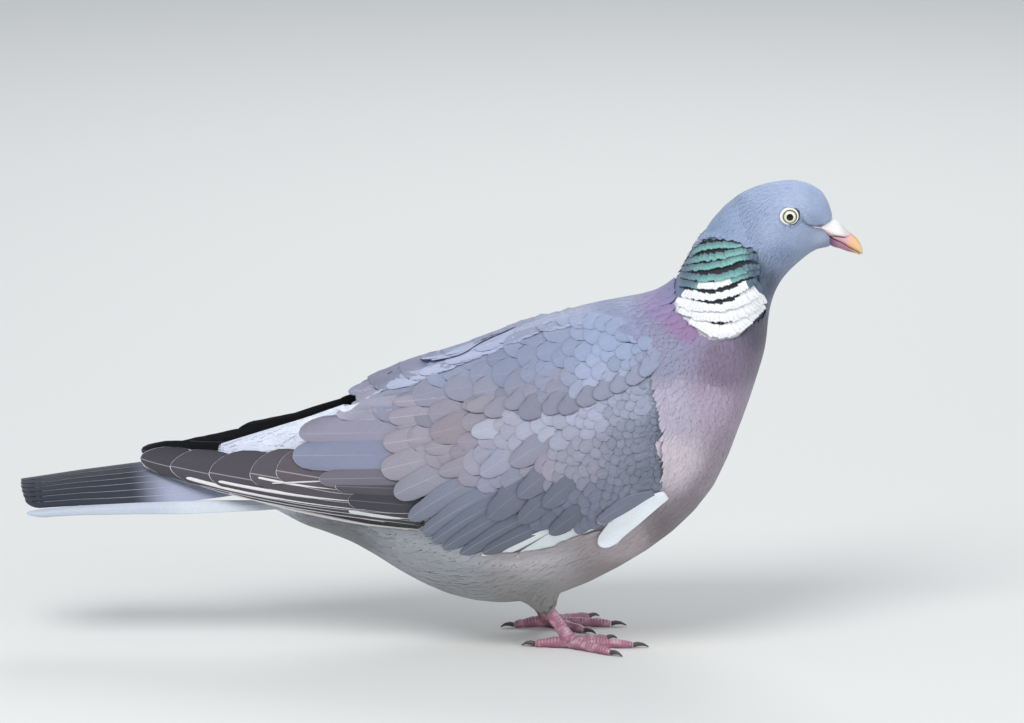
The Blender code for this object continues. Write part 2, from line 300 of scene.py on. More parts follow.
def keep_largest(shape):
    """Deletes all but the largest connected part."""
    seen, islands = set(), []
    for start in shape.verts:
        if start in seen:
            continue
        island, edge = [], [start]
        seen.add(start)
        while edge:
            vert = edge.pop()
            island.append(vert)
            for link in vert.link_edges:
                other = link.other_vert(vert)
                if other not in seen:
                    seen.add(other)
                    edge.append(other)
        islands.append(island)
    islands.sort(key=len)
    bmesh.ops.delete(shape, geom=[v for island in islands[:-1] for v in island], context="VERTS")


def ramp(value, start, end):
    """Smooth step of numbers or arrays."""
    share = np.clip((value - start) / (end - start), 0.0, 1.0)
    return share * share * (3 - 2 * share)


HEAD_DEPTH, BODY_MORE, FACE_LESS, BELLY_MORE = 0.75, 0.95, 0.35, 0.5  # of the coat


def coat_depth(p):
    """How far the coat lifts off the skin, in millimetres, at places given in millimetres."""
    x, z = p[:, 0], p[:, 2]
    along_neck = ramp(-(x - 150) * 0.5 - (z - 185) * 0.86, -15, 25)
    face = ramp(x, 176, 186)
    depth = HEAD_DEPTH + BODY_MORE * along_neck - FACE_LESS * face
    under = ramp(-z, -40, -18) * ramp(-x, -80, 0)
    return depth + BELLY_MORE * under


# ---------------------------------------------------------------- arrays of places
def grid_of(mesh):
    """Places in millimetres, normals and triangles of a mesh."""
    count = len(mesh.vertices)
    places, normals = np.empty(count * 3, np.float32), np.empty(count * 3, np.float32)
    mesh.vertices.foreach_get("co", places)
    mesh.vertices.foreach_get("normal", normals)
    mesh.calc_loop_triangles()
    corners = np.empty(len(mesh.loop_triangles) * 3, np.int32)
    mesh.loop_triangles.foreach_get("vertices", corners)
    return places.reshape(-1, 3) / MM, normals.reshape(-1, 3), corners.reshape(-1, 3)


def unit(vectors):
    return vectors / np.maximum(np.linalg.norm(vectors, axis=-1, keepdims=True), 1e-9)


def strewn(places, normals, corners, density, count):
    """Random places on a surface, thicker where density, given at its vertices, is high."""
    a, b, c = places[corners[:, 0]], places[corners[:, 1]], places[corners[:, 2]]
    weight = np.linalg.norm(np.cross(b - a, c - a), axis=1) * density[corners].mean(axis=1)
    chosen = RNG.choice(len(corners), size=count, p=weight / weight.sum())
    s, t = RNG.random(count), RNG.random(count)
    s, t = np.where(s + t > 1, 1 - s, s), np.where(s + t > 1, 1 - t, t)
    share = np.stack([1 - s - t, s, t], axis=1)[:, :, None]
    here = (places[corners[chosen]] * share).sum(axis=1)
    out = unit((normals[corners[chosen]] * share).sum(axis=1))
    return here, out


def thinned(places, spacing):
    """The numbers of places that keep their spacing from those kept before them."""
    tree = KDTree(len(places))
    for number, place in enumerate(places.tolist()):
        tree.insert(place, number)
    tree.balance()
    dropped = np.zeros(len(places), bool)
    kept = []
    listed = places.tolist()
    for number in range(len(places)):
        if dropped[number]:
            continue
        kept.append(number)
        for _, other, _ in tree.find_range(listed[number], float(spacing[number])):
            dropped[other] = True
    return np.array(kept)


def nearest_of(tree, places):
    """Distances in millimetres from places to a search tree in metres."""
    return np.array([(tree.find_nearest(place)[3] or 1.0) / MM for place in (places * MM).tolist()])


def tree_of(*names, scale=MM):
    """A search tree over the faces of some nodes, whose millimetres are scaled."""
    mesh = joined_nodes(*names)
    places, _, corners = grid_of(mesh)
    bpy.data.meshes.remove(mesh)
    return BVHTree.FromPolygons((places * scale).tolist(), corners.tolist())


# ---------------------------------------------------------------- markings and lie of the plumage
# name, x, z, lie in degrees (180 is backwards, 270 is down), feather length, colour. The colours of the
# lores, chin, low throat, lower breast, keel, belly and undertail are darker than the plumage's own: painted
# shade in the crease before the eye and on the underside.
PLUMAGE = (
    ("forehead", 184.5, 205.5, 128, 1.9, (176, 192, 224)),
    ("front of crown", 179, 216, 150, 2.2, (170, 188, 220)),
    ("crown", 166, 223, 180, 2.7, (176, 194, 228)),
    ("back of crown", 151, 221, 200, 3.2, (170, 187, 219)),
    ("hind head", 140, 213, 222, 4.2, (150, 167, 198)),
    ("side of hind head", 147, 205, 225, 3.8, (152, 168, 200)),
    ("lores", 179.5, 203, 182, 1.6, (136, 151, 180)),
    ("eyebrow", 168, 215, 182, 2.1, (184, 199, 228)),
    ("under the eye", 167, 200, 208, 1.9, (162, 176, 205)),
    ("below the gape", 180, 197, 196, 1.7, (182, 195, 224)),
    ("cheek", 173, 196, 214, 2, (158, 172, 202)),
    ("ear", 157, 203, 214, 2.6, (172, 187, 218)),
    ("chin", 181, 191, 203, 1.8, (112, 126, 154)),
    ("jaw", 165, 189, 224, 2.6, (134, 149, 180)),
    ("throat", 167, 177, 238, 3.4, (118, 132, 160)),
    ("low throat", 160, 166, 252, 4.6, (84, 98, 122)),
    ("upper nape", 130, 205, 236, 5.5, (140, 160, 190)),
    ("nape", 120, 190, 240, 7.5, (128, 152, 176)),
    ("hind neck", 111, 178, 232, 8.5, (138, 146, 182)),
    ("neck base", 101, 169, 212, 9.5, (137, 134, 169)),
    ("neck side", 140, 178, 236, 7, (112, 142, 158)),
    ("neck front edge", 154, 174, 246, 5.5, (70, 82, 102)),
    ("fore neck", 156, 153, 262, 5.5, (78, 70, 90)),
    ("neck below the patch", 134, 139, 244, 6.5, (130, 115, 138)),
    ("hind neck side", 108, 150, 226, 7, (146, 146, 172)),
    ("crop", 147, 120, 250, 7, (150, 132, 156)),
    ("crop top", 153, 137, 256, 6.2, (114, 100, 122)),
    ("front of the breast", 143, 102, 243, 7.5, (144, 128, 148)),
    ("foot of the breast", 125, 69, 230, 8.5, (126, 113, 122)),
    ("crop side", 130, 124, 240, 7, (184, 166, 188)),
    ("breast band", 112, 120, 238, 6.5, (186, 178, 196)),
    ("breast", 134, 84, 236, 8, (140, 125, 138)),
    ("breast side", 111, 98, 240, 7, (214, 202, 212)),
    ("lower breast", 112, 56, 222, 9, (106, 95, 101)),
    ("front flank", 88, 56, 208, 9, (176, 164, 168)),
    ("keel", 84, 36, 196, 10, (136, 126, 126)),
    ("belly", 50, 23, 186, 11, (138, 134, 132)),
    ("flank", 50, 42, 192, 12, (186, 180, 184)),
    ("thigh", 50, 34, 232, 6, (146, 146, 146)),
    ("vent", 4, 21, 182, 13, (152, 154, 156)),
    ("rear flank", 0, 44, 186, 14, (166, 168, 174)),
    ("undertail", -50, 44, 172, 16, (112, 114, 116)),
    ("undertail tips", -95, 62, 172, 20, (188, 193, 210)),
    ("shoulders", 88, 166, 196, 8, (146, 154, 184)),
    ("mantle", 60, 160, 193, 9, (171, 176, 202)),
    ("back", 20, 146, 198, 11, (174, 182, 211)),
    ("lower back", -20, 127, 202, 12, (196, 206, 228)),
    ("rump", -52, 108, 196, 12, (236, 242, 252)),
    ("uppertail", -85, 96, 190, 15, (228, 234, 248)),
    ("uppertail tips", -108, 90, 187, 18, (214, 220, 238)),
)
SPOTS = np.array([row[1:3] for row in PLUMAGE], float)
LIES = np.array([(math.cos(math.radians(row[3])), 0.0, math.sin(math.radians(row[3]))) for row in PLUMAGE])
LENGTHS = np.array([row[4] for row in PLUMAGE], float)
COLOURS = np.array([shade(*row[5]) for row in PLUMAGE])
WHITE_PATCH = (
    (117.9, 170.9), (129, 172.5), (141.2, 174.3), (152.6, 168.9), (155, 166), (154, 159.2),
    (150.2, 155.3), (146.9, 152.9), (141.7, 147.5), (135, 145.6), (126.9, 145.6), (121.7, 150),
    (112.1, 159.2), (110.2, 164.6),
)
GREEN_PATCH = (
    (127.9, 194.3), (140.7, 188.4), (148.8, 187), (153, 181), (152.8, 174.2), (152.6, 168.9),
    (141.2, 174.3), (117.9, 170.9), (109, 163), (103.5, 169.5), (109, 178), (117, 188.5),
)
# the crease from the front of the eye to the gape, where painted shade darkens the plumage
SHADED_CREASE = (
    (169.8, 205.8), (171.6, 204.0), (175.0, 201.7), (178.0, 201.0), (181.6, 201.7), (181.8, 200.5),
    (178.0, 199.8), (174.8, 200.4), (171.4, 202.8),
)
PURPLE_PATCH = (
    (99, 166), (103.5, 170.5), (111, 167), (110.5, 161), (117, 154.5), (122, 149), (123, 144.5),
    (117, 145), (109, 150.5), (102, 158),
)


def side_view(p):
    """Where a place shows from the camera's height: along the bird, and up."""
    return p[:, 0], p[:, 2] - SIDE_DROP * np.abs(p[:, 1])


def weights(spots, table, softness):
    """How much each spot of a table counts at each of these spots."""
    apart = ((spots[:, None] - table[None]) ** 2).sum(axis=2) / ROW_REACH**2
    weight = 1.0 / (softness + apart) ** 2.2
    return weight / weight.sum(axis=1, keepdims=True)


def shares(p):
    """How much each row of PLUMAGE counts at each place."""
    return weights(p[:, (0, 2)], SPOTS, 0.25)


def within(outline, x, z, soft=1.2):
    """1 inside an outline and 0 outside it, with a soft edge."""
    outline = np.array(outline, float)
    inside = np.zeros(len(x), bool)
    apart = np.full(len(x), 1e9)
    for (ax, az), (bx, bz) in zip(outline, np.roll(outline, -1, axis=0), strict=True):
        dx, dz = bx - ax, bz - az
        inside ^= ((az > z) != (bz > z)) & (x < dx * (z - az) / (dz + 1e-12) + ax)
        share = np.clip(((x - ax) * dx + (z - az) * dz) / (dx**2 + dz**2), 0, 1)
        apart = np.minimum(apart, np.hypot(x - ax - share * dx, z - az - share * dz))
    return ramp(np.where(inside, apart, -apart), -soft, soft)


def blend(first, second, share):
    share = np.asarray(share)[..., None] if np.ndim(share) else share
    return first + (second - first) * share


def markings(p):
    """The plumage's colour at places given in millimetres, with painted shade in the crease below the eye
    and, through the plumage table, on the underside.
    """
    colour = shares(p) @ COLOURS
    x, s = side_view(p)
    gloss = blend(tone(142, 124, 172), tone(157, 119, 164), ramp(-s, -162, -150))
    colour = blend(colour, gloss, 0.8 * within(PURPLE_PATCH, x, s, 2.6))
    green = within(GREEN_PATCH, x, s, 2.0)
    sheen = blend(tone(96, 158, 150), tone(134, 128, 170), ramp(-x, -122, -106))
    sheen = blend(sheen, tone(84, 100, 122), ramp(x, 138, 146))
    colour = blend(colour, sheen, green)
    # painted shade: the crease below the eye is darkened
    colour = blend(colour, tone(66, 78, 98), 0.7 * within(SHADED_CREASE, x, s, 0.55))
    white = within(WHITE_PATCH, x + 3.5 * ramp(x, 144, 152), s, 0.8)
    return blend(colour, tone(250, 250, 251), white)


def settled(vectors, normals):
    """Vectors turned into the surface's own plane."""
    return unit(vectors - normals * (vectors * normals).sum(axis=1, keepdims=True))


def turned_to(lie, out):
    """Euler angles that turn X to the lie and Z to the outward normal."""
    side = np.cross(out, lie)  # the turning matrix has lie, side and out as its columns
    pitch = -np.arcsin(np.clip(lie[:, 2], -1, 1))
    return np.stack([np.arctan2(side[:, 2], out[:, 2]), pitch, np.arctan2(lie[:, 1], lie[:, 0])], axis=1)


# ---------------------------------------------------------------- vanes
def vane_grid(rows, columns, notch, rounding):
    """Places along (0 to 1) and across (-1 to 1) of a vane's points, and what its outline does to them.

    Returns the values at its points, upper face first, and its triangles. Both faces share the rim.
    """
    us, vs = np.linspace(0, 1, rows + 1) ** 0.85, np.sin(np.linspace(-1, 1, columns + 1) * np.pi / 2.4)
    vs /= vs[-1]
    u, v = (a.ravel() for a in np.meshgrid(us, vs, indexing="ij"))
    row, column = (a.ravel() for a in np.meshgrid(range(rows + 1), range(columns + 1), indexing="ij"))
    width = (0.4 + 0.6 * np.sin(np.clip(u / 0.6, 0, 1) * np.pi / 2)) * (1 - 0.12 * ramp(u, 0.6, 1.0))
    bulge = u**2.5 * (1 - np.sqrt(1 - 0.98 * v * v)) * 1.1
    cut = np.where((row == rows) & (column % 2 == 1), notch, 0.0)
    rim = (row == 0) | (row == rows) | (column == 0) | (column == columns)
    lower = np.cumsum(~rim) - 1 + len(u)
    lower = np.where(rim, np.arange(len(u)), lower)
    faces = []
    for i in range(rows):
        for j in range(columns):
            a, b = i * (columns + 1) + j, (i + 1) * (columns + 1) + j
            if j < columns / 2:
                pair = (a, b, b + 1), (a, b + 1, a + 1)
            else:
                pair = (a, b, a + 1), (b, b + 1, a + 1)
            for one, two, three in pair:
                faces += [(one, two, three), (lower[three], lower[two], lower[one])]
    body = ~rim
    join = lambda upper: np.concatenate([upper, upper[body]])
    return {
        "along": join(u),
        "across": join(v),
        "reach": join(u - rounding * bulge - cut),
        "cut": join(cut),
        "bulge": join(bulge),
        "width": join(width * v),
        "under": np.concatenate([np.zeros(len(u)), np.ones(body.sum())]),
        "faces": np.array([face for face in faces if len(set(face)) == 3], np.int32),
        "columns": columns,
        "rows": rows,
    }


def rim_edges(grid):
    """The pairs of points along a vane's rim, which stay crisp."""
    rows, columns = grid["rows"], grid["columns"]
    at = lambda i, j: i * (columns + 1) + j
    pairs = [(at(i, j), at(i + 1, j)) for i in range(rows) for j in (0, columns)]
    return pairs + [(at(i, j), at(i, j + 1)) for j in range(columns) for i in (0, rows)]


def heights(grid, dome, thick):
    """How high a vane's points stand: a dome, with a raised shaft above and a lens below."""
    v, u = grid["across"], grid["along"]
    lens = thick * (1 - v * v) * np.sin(np.pi * np.clip(u * 0.86 + 0.1, 0, 1))
    shaft = 0.35 * thick * np.exp(-((v / 0.16) ** 2)) * (1 - 0.6 * u)
    return dome * (1 - v * v) + np.where(grid["under"] > 0, -lens, shaft)


def store(mesh, label, values):
    """A point attribute: one number each, a colour if it is a tint, or else a vector."""
    values = np.asarray(values, np.float32)
    if values.ndim == 1:
        kind, field = "FLOAT", "value"
    elif "tint" in label:
        kind, field = "FLOAT_COLOR", "color"
        values = np.concatenate([values, np.ones((len(values), 1), np.float32)], axis=1)
    else:
        kind, field = "FLOAT_VECTOR", "vector"
    mesh.attributes.new(label, kind, "POINT").data.foreach_set(field, values.ravel())


def move_to(mesh, places):
    """Puts a mesh's points at places in millimetres."""
    mesh.vertices.foreach_set("co", np.asarray(places * MM, np.float32).ravel())


def mesh_of(name, places, faces, crisp=None, **values):
    """A mesh from places in millimetres, with point attributes and crisp edges between pairs of points."""
    mesh = bpy.data.meshes.new(name)
    mesh.vertices.add(len(places))
    move_to(mesh, places)
    mesh.loops.add(len(faces) * 3)
    mesh.loops.foreach_set("vertex_index", np.asarray(faces, np.int32).ravel())
    mesh.polygons.add(len(faces))
    mesh.polygons.foreach_set("loop_start", np.arange(0, len(faces) * 3, 3, dtype=np.int32))
    mesh.update(calc_edges=True)
    mesh.validate()
    mesh.shade_smooth()
    for label, value in values.items():
        store(mesh, label, value)
    if crisp is not None:
        ends = np.empty(len(mesh.edges) * 2, np.int32)
        mesh.edges.foreach_get("vertices", ends)
        pairs = (np.sort(np.asarray(edges, np.int64).reshape(-1, 2), axis=1) for edges in (ends, crisp))
        known, wanted = (low * len(places) + high for low, high in (pair.T for pair in pairs))
        sharp = mesh.attributes.new("sharp_edge", "BOOLEAN", "EDGE")
        sharp.data.foreach_set("value", np.isin(known, wanted))
    return mesh


def prototype(name, rows, columns, notch, dome, thick, rounding):
    """A flat vane, one unit long and two wide, that carries its own heights in millimetres."""
    grid = vane_grid(rows, columns, notch, rounding)
    flat = np.stack([grid["reach"], grid["width"], 0 * grid["width"]], axis=1) / MM
    mesh = mesh_of(name, flat, grid["faces"], rim_edges(grid), along=grid["along"], across=grid["across"],
                   height=heights(grid, dome, thick) * MM)
    return placed(name, mesh)


def plumage_tree():
    """Grows feathers on points: each is a vane turned to its lie, laid on the hide and lifted off it."""
    growth = Growth("plumage", Vane="Object", Hide="Object", Material="Material", Patch="Float")
    vane, hide = (
        growth.node("GeometryNodeObjectInfo", {}, out="Geometry", Object=growth.given(label))
        for label in ("Vane", "Hide")
    )
    turn, spread, seat = (growth.field(name, "FLOAT_VECTOR") for name in ("turn", "spread", "seat"))
    points = growth.given("Geometry")
    feathers = growth.node(
        "GeometryNodeInstanceOnPoints", {}, Points=points, Instance=vane, Rotation=turn, Scale=spread
    )
    feathers = growth.changed("RealizeInstances", feathers)
    here = growth.node("GeometryNodeInputPosition", {})
    near = growth.node("GeometryNodeProximity", {"target_element": "FACES"}, hide, Sample_Position=here)
    normal = growth.node("GeometryNodeInputNormal", {})
    out = growth.node("GeometryNodeSampleNearestSurface", {"data_type": "FLOAT_VECTOR"}, Mesh=hide,
                      Value=normal, Sample_Position=here)
    along, across = growth.field("along"), growth.field("across")
    lift = growth.field("lift") * along.step(0.0, 0.35, 0.84, 1.0)
    height = lift + growth.field("rise") * along + growth.field("height")
    lifted = growth.added(near, growth.scaled(out, height))
    feathers = growth.changed("SetPosition", feathers, Position=lifted)
    place = growth.node("ShaderNodeCombineXYZ", {}, along, across)
    settings = {"operation": "MULTIPLY_ADD"}
    place = growth.node("ShaderNodeVectorMath", settings, place, (1.0, 0.5, 0.0), (0.0, 0.5, 0.0))
    centred = growth.added(place, (-0.5, -0.5, 0.0))
    seat = growth.added(seat, growth.scaled(centred, growth.given("Patch")))
    store = {"data_type": "FLOAT2", "domain": "CORNER"}
    feathers = growth.changed("StoreNamedAttribute", feathers, store, Name="OFBake", Value=seat)
    feathers = growth.changed("RealizeInstances", feathers)
    feathers = growth.changed("SetMaterial", feathers, Material=growth.given("Material"))
    growth.feed(growth.end.inputs[0], feathers)
    return growth


# ---------------------------------------------------------------- an unwrap of the body
SPINE = np.array(((-210, 75), (-120, 80), (-60, 78), (0, 82), (50, 92), (95, 120), (125, 155), (145, 190),
                  (168, 203), (200, 192)), float)


def unwrapped(p):
    """Along the spine and round it, each from 0 to 1, for places in millimetres."""
    flat = p[:, (0, 2)]
    start, leg = SPINE[:-1], np.diff(SPINE, axis=0)
    length = np.linalg.norm(leg, axis=1)
    run = np.concatenate([[0], np.cumsum(length)])
    share = np.clip(((flat[:, None] - start) * leg).sum(axis=2) / length**2, 0, 1)
    foot = start + share[:, :, None] * leg
    best = np.linalg.norm(flat[:, None] - foot, axis=2).argmin(axis=1)
    which = np.arange(len(p))
    ahead = (leg / length[:, None])[best]
    off = flat - foot[which, best]
    above = off[:, 1] * ahead[:, 0] - off[:, 0] * ahead[:, 1]
    return np.stack([
        (run[best] + share[which, best] * length[best]) / run[-1],
        np.arctan2(p[:, 1], above) / (2 * np.pi) + 0.5,
    ], axis=1)


def seats(p):
    """Each feather's place on its piece's share of the unwrap."""
    flat = unwrapped(p)
    low, high = flat.min(axis=0), flat.max(axis=0)
    flat = 0.01 + 0.98 * (flat - low) / np.maximum(high - low, 1e-6)
    return np.concatenate([flat, np.zeros((len(flat), 1))], axis=1)


def cells(count):
    """Low corners and the size of a square cell for each of a few large feathers."""
    side = math.ceil(math.sqrt(count))
    number = np.arange(count)
    return np.stack([number % side, number // side], axis=1) / side, 1 / side


# ---------------------------------------------------------------- sheets that large feathers lie on
FADED = tone(92, 112, 124)  # the dull middle of the neck's green feathers
# painted shade: near-black tint for the quills' lower faces
UNDERSIDE_SHADE = tone(24, 22, 27)  # the shaded lower face of the quills
TILT = math.radians(CAMERA_TILT)
VIEW = np.array((0.0, math.cos(TILT), -math.sin(TILT)))
RAY_START = 300  # millimetres before the middle of the bird


class Sheet:
    """The outer face of some nodes on one side, as depth below the side view.

    Past the edge of the face it runs on flat, except where it wraps: there the body behind carries
    it on, and past the outline it turns away round the body.
    """

    def __init__(self, side, nodes, x0, x1, s0, s1, behind, wraps, step=1.5, smoothing=8):
        self.side, self.step, self.x0, self.s0 = side, step, x0, s0
        xs, ss = np.arange(x0, x1 + step, step), np.arange(s0, s1 + step, step)
        self.xs, self.ss = np.meshgrid(xs, ss, indexing="ij")
        depth = self.cast(nodes)
        here = wraps(self.xs, self.ss)
        depth = np.where(np.isnan(depth) & here, self.cast(behind), depth)
        lost, known = np.isnan(depth) & here, np.argwhere(~np.isnan(depth))
        tree = KDTree(len(known))
        for number, (i, j) in enumerate(known):
            tree.insert((self.xs[i, j], self.ss[i, j], 0), number)
        tree.balance()
        self.wrap = np.zeros(depth.shape)
        self.near = np.stack([self.xs, self.ss], axis=-1)
        for i, j in np.argwhere(lost):
            place, number, self.wrap[i, j] = tree.find((self.xs[i, j], self.ss[i, j], 0))
            self.near[i, j] = place[:2]
            depth[i, j] = depth[tuple(known[number])]
        self.depth = self.smoothed(self.filled(depth), smoothing)
        self.slopes = np.gradient(self.depth, self.step)

    def cast(self, nodes):
        """Depths at which the nodes' faces are met, and nothing where none is."""
        tree = tree_of(*nodes, scale=np.array((1, -self.side, 1)))
        depth = np.full(self.xs.shape, np.nan)
        ray = Vector(VIEW)
        for i, j in np.ndindex(*depth.shape):
            hit = tree.ray_cast(Vector((self.xs[i, j], 0, self.ss[i, j])) - ray * RAY_START, ray)
            if hit[0] is not None:
                depth[i, j] = hit[3] - RAY_START
        return depth

    @staticmethod
    def filled(depth):
        """Carries the known depths outwards, cell by cell."""
        while np.isnan(depth).any():
            wide = np.pad(depth, 1, constant_values=np.nan)
            around = np.stack([wide[1 + a : wide.shape[0] - 1 + a, 1 + b : wide.shape[1] - 1 + b]
                               for a in (-1, 0, 1) for b in (-1, 0, 1)])
            known = ~np.isnan(around)
            mean = np.where(known, around, 0).sum(axis=0) / np.maximum(known.sum(axis=0), 1)
            depth = np.where(np.isnan(depth) & known.any(axis=0), mean, depth)
        return depth

    @staticmethod
    def smoothed(depth, times):
        for _ in range(times):
            wide = np.pad(depth, 1, mode="edge")
            beside = wide[2:, 1:-1] + wide[:-2, 1:-1] + wide[1:-1, 2:] + wide[1:-1, :-2]
            depth = (beside + 4 * depth) / 8
        return depth

    def sampled(self, table, x, s):
        """A table's values between its cells."""
        i = np.clip((x - self.x0) / self.step, 0, table.shape[0] - 1.001)
        j = np.clip((s - self.s0) / self.step, 0, table.shape[1] - 1.001)
        a, b = i.astype(int), j.astype(int)
        p, q = i - a, j - b
        return ((1 - p) * (1 - q) * table[a, b] + p * (1 - q) * table[a + 1, b]
                + (1 - p) * q * table[a, b + 1] + p * q * table[a + 1, b + 1])

    def at(self, x, s, height):
        """Places at a height over the sheet, in the bird's frame."""
        wrap = self.sampled(self.wrap, x, s)
        x, s = self.sampled(self.near[..., 0], x, s), self.sampled(self.near[..., 1], x, s)
        depth = self.sampled(self.depth, x, s) + wrap
        dx, ds = (self.sampled(slope, x, s) for slope in self.slopes)
        place = np.stack([x, 0 * x, s], axis=-1) + depth[..., None] * VIEW
        along = np.stack([1 + 0 * x, 0 * x, 0 * x], axis=-1) + dx[..., None] * VIEW
        up = np.stack([0 * x, 0 * x, 1 + 0 * x], axis=-1) + ds[..., None] * VIEW
        place = place + unit(np.cross(along, up)) * height[..., None]
        place[..., 1] *= -self.side
        return place


def laid(name, sheet, feathers, rows, columns, notch=0.0, rounding=0.3, thick=0.35, dome=0.12, few=False):
    """One mesh of feathers on a sheet.

    Each feather is a dict of its root, tip, half width, level and looks. A few large ones each get a
    cell of the piece's map; many small ones are seated on the map of the body.
    """
    grid = vane_grid(rows, columns, notch, rounding)
    get = lambda key, default=0.0: np.array([feather.get(key, default) for feather in feathers], float)
    root, tip = get("root"), get("tip")
    axis = tip - root
    length = np.linalg.norm(axis, axis=1)
    axis /= length[:, None]
    across = np.stack([axis[:, 1], -axis[:, 0]], axis=1)
    half, u, v = get("half"), grid["along"], grid["across"]
    broad = np.where(v[None] > 0, get("upper", 1.0)[:, None], 1.0)
    slant = np.where(v[None] > 0, get("slant", 1.0)[:, None], 1.0)
    reach = u[None] - get("rounding", rounding)[:, None] * slant * grid["bulge"][None] - grid["cut"][None]
    flat = (root[:, None] + axis[:, None] * (reach * length[:, None])[:, :, None]
            + across[:, None] * (grid["width"][None] * broad * half[:, None])[:, :, None]
            + across[:, None] * (get("bend") * length)[:, None, None] * (4 * u * (1 - u))[None, :, None])
    height = (get("level")[:, None] + get("rise")[:, None] * u[None] ** 1.3 + get("tilt")[:, None] * v[None]
              + heights(grid, dome, thick)[None])
    places = sheet.at(flat[..., 0], flat[..., 1], height)
    count, size = len(feathers), len(u)
    base = (np.arange(count) * size)[:, None, None]
    faces = (grid["faces"][None] + base).reshape(-1, 3)
    if sheet.side < 0:
        faces = faces[:, ::-1]
    each = lambda values: np.repeat(values, size, axis=0)
    along, across, under = (np.tile(values, count) for values in (u, v, grid["under"]))
    fade = (1 - ramp(along, 0.62, 0.9)) * each(get("fade"))
    # painted shade: the lower faces of the quills are tinted towards near-black
    tint = blend(blend(each(get("tint")), FADED, fade), UNDERSIDE_SHADE, under * each(get("dark_below")))
    mesh = mesh_of(
        name, places.reshape(-1, 3), faces, np.array(rim_edges(grid))[None] + base,
        along=along, across=across, tint=tint, root_tint=each(get("root_tint", (0.2, 0.2, 0.25))),
        reach=each(length), girth=each(half) * broad.ravel(),
        **{label: each(get(label)) for label in ("parting", "pale", "shaft", "lot")},
    )
    if few:
        low, cell = cells(count)
        seat = each(low) + cell * (0.05 + 0.9 * np.stack([along, across / 2 + 0.5], axis=1))
    else:
        seat = each(seats(places[:, 0])[:, :2]) + FEATHER_SEAT * np.stack([along - 0.5, across / 2], axis=1)
    unwrap(mesh, seat)
    return placed(name, mesh)


def unwrap(mesh, seat):
    """Stores the OFBake map from one place per point."""
    corners = np.empty(len(mesh.loops), np.int32)
    mesh.loops.foreach_get("vertex_index", corners)
    layer = mesh.uv_layers.new(name="OFBake")
    layer.data.foreach_set("uv", seat[corners].astype(np.float32).ravel())


# ---------------------------------------------------------------- the wings
# x, side height, lie in degrees, length, colour
WING = (
    (101, 141, 214, 7, (150, 158, 184)),
    (102, 124, 216, 6.2, (138, 145, 164)),
    (103, 100, 224, 5.4, (118, 125, 142)),
    (100, 80, 216, 6, (116, 123, 138)),
    (90, 118, 205, 8, (156, 161, 182)),
    (86, 95, 212, 8, (134, 138, 154)),
    (88, 72, 212, 8, (128, 134, 150)),
    (96, 62, 212, 8, (120, 126, 142)),
    (70, 110, 200, 10, (168, 172, 194)),
    (68, 88, 208, 10, (150, 150, 166)),
    (70, 66, 211, 10, (122, 128, 146)),
    (50, 104, 196, 12, (170, 173, 192)),
    (50, 84, 204, 12.5, (150, 146, 160)),
    (52, 64, 212, 12.5, (116, 122, 140)),
    (30, 106, 190, 13, (164, 162, 178)),
    (30, 88, 201, 14, (158, 158, 176)),
    (34, 70, 214, 15, (134, 140, 160)),
    (10, 104, 186, 14, (146, 139, 150)),
    (8, 88, 190, 15, (148, 142, 154)),
    (95, 146, 207, 11, (152, 164, 192)),
    (78, 144, 203, 13, (156, 168, 198)),
    (76, 128, 204, 13, (164, 172, 198)),
    (58, 138, 197, 15, (142, 151, 178)),
    (58, 122, 200, 16, (144, 147, 167)),
    (34, 134, 194, 18, (140, 148, 174)),
    (34, 120, 195, 19, (136, 138, 155)),
    (8, 130, 190, 22, (148, 156, 181)),
    (8, 118, 189, 22, (142, 140, 154)),
    (-18, 122, 188, 24, (138, 140, 160)),
    (-30, 115, 187, 22, (156, 154, 170)),
)
WING_OUTLINE = (
    (98, 147), (103, 138), (105, 124), (106, 100), (105, 78), (102, 66), (86, 62), (70, 56), (54, 54),
    (40, 64), (24, 76), (10, 84), (-6, 92), (-10, 108), (-24, 112), (-34, 116),
)
WING_TOP = ((-26, 115), (10, 130), (30, 138.5), (46, 145.5), (60, 149), (76, 150.3), (90, 147))
DRAPED_TOP = (
    (-40, 124), (-22, 131), (-4, 138), (16, 147), (26, 152.5), (43, 156), (60, 157.5), (76, 157),
    (90, 153),
)
BACK_LINE = (
    (-38, 120.5), (-22, 127.5), (-4, 134.5), (16, 144), (26, 149), (43, 153), (60, 155), (76, 155.3),
    (90, 151),
)
WING_COVER = (
    (98, 147), (103, 138), (104.5, 124), (105, 100), (104.5, 68), (98, 61), (88, 53.5), (81, 52),
    (75, 54), (66, 50.5), (52, 44.5), (36, 43), (20, 44.5), (8, 47), (-4, 52), (-14, 56), (-30, 61),
    (-42, 90), (-46, 112), (-44, 119),
)
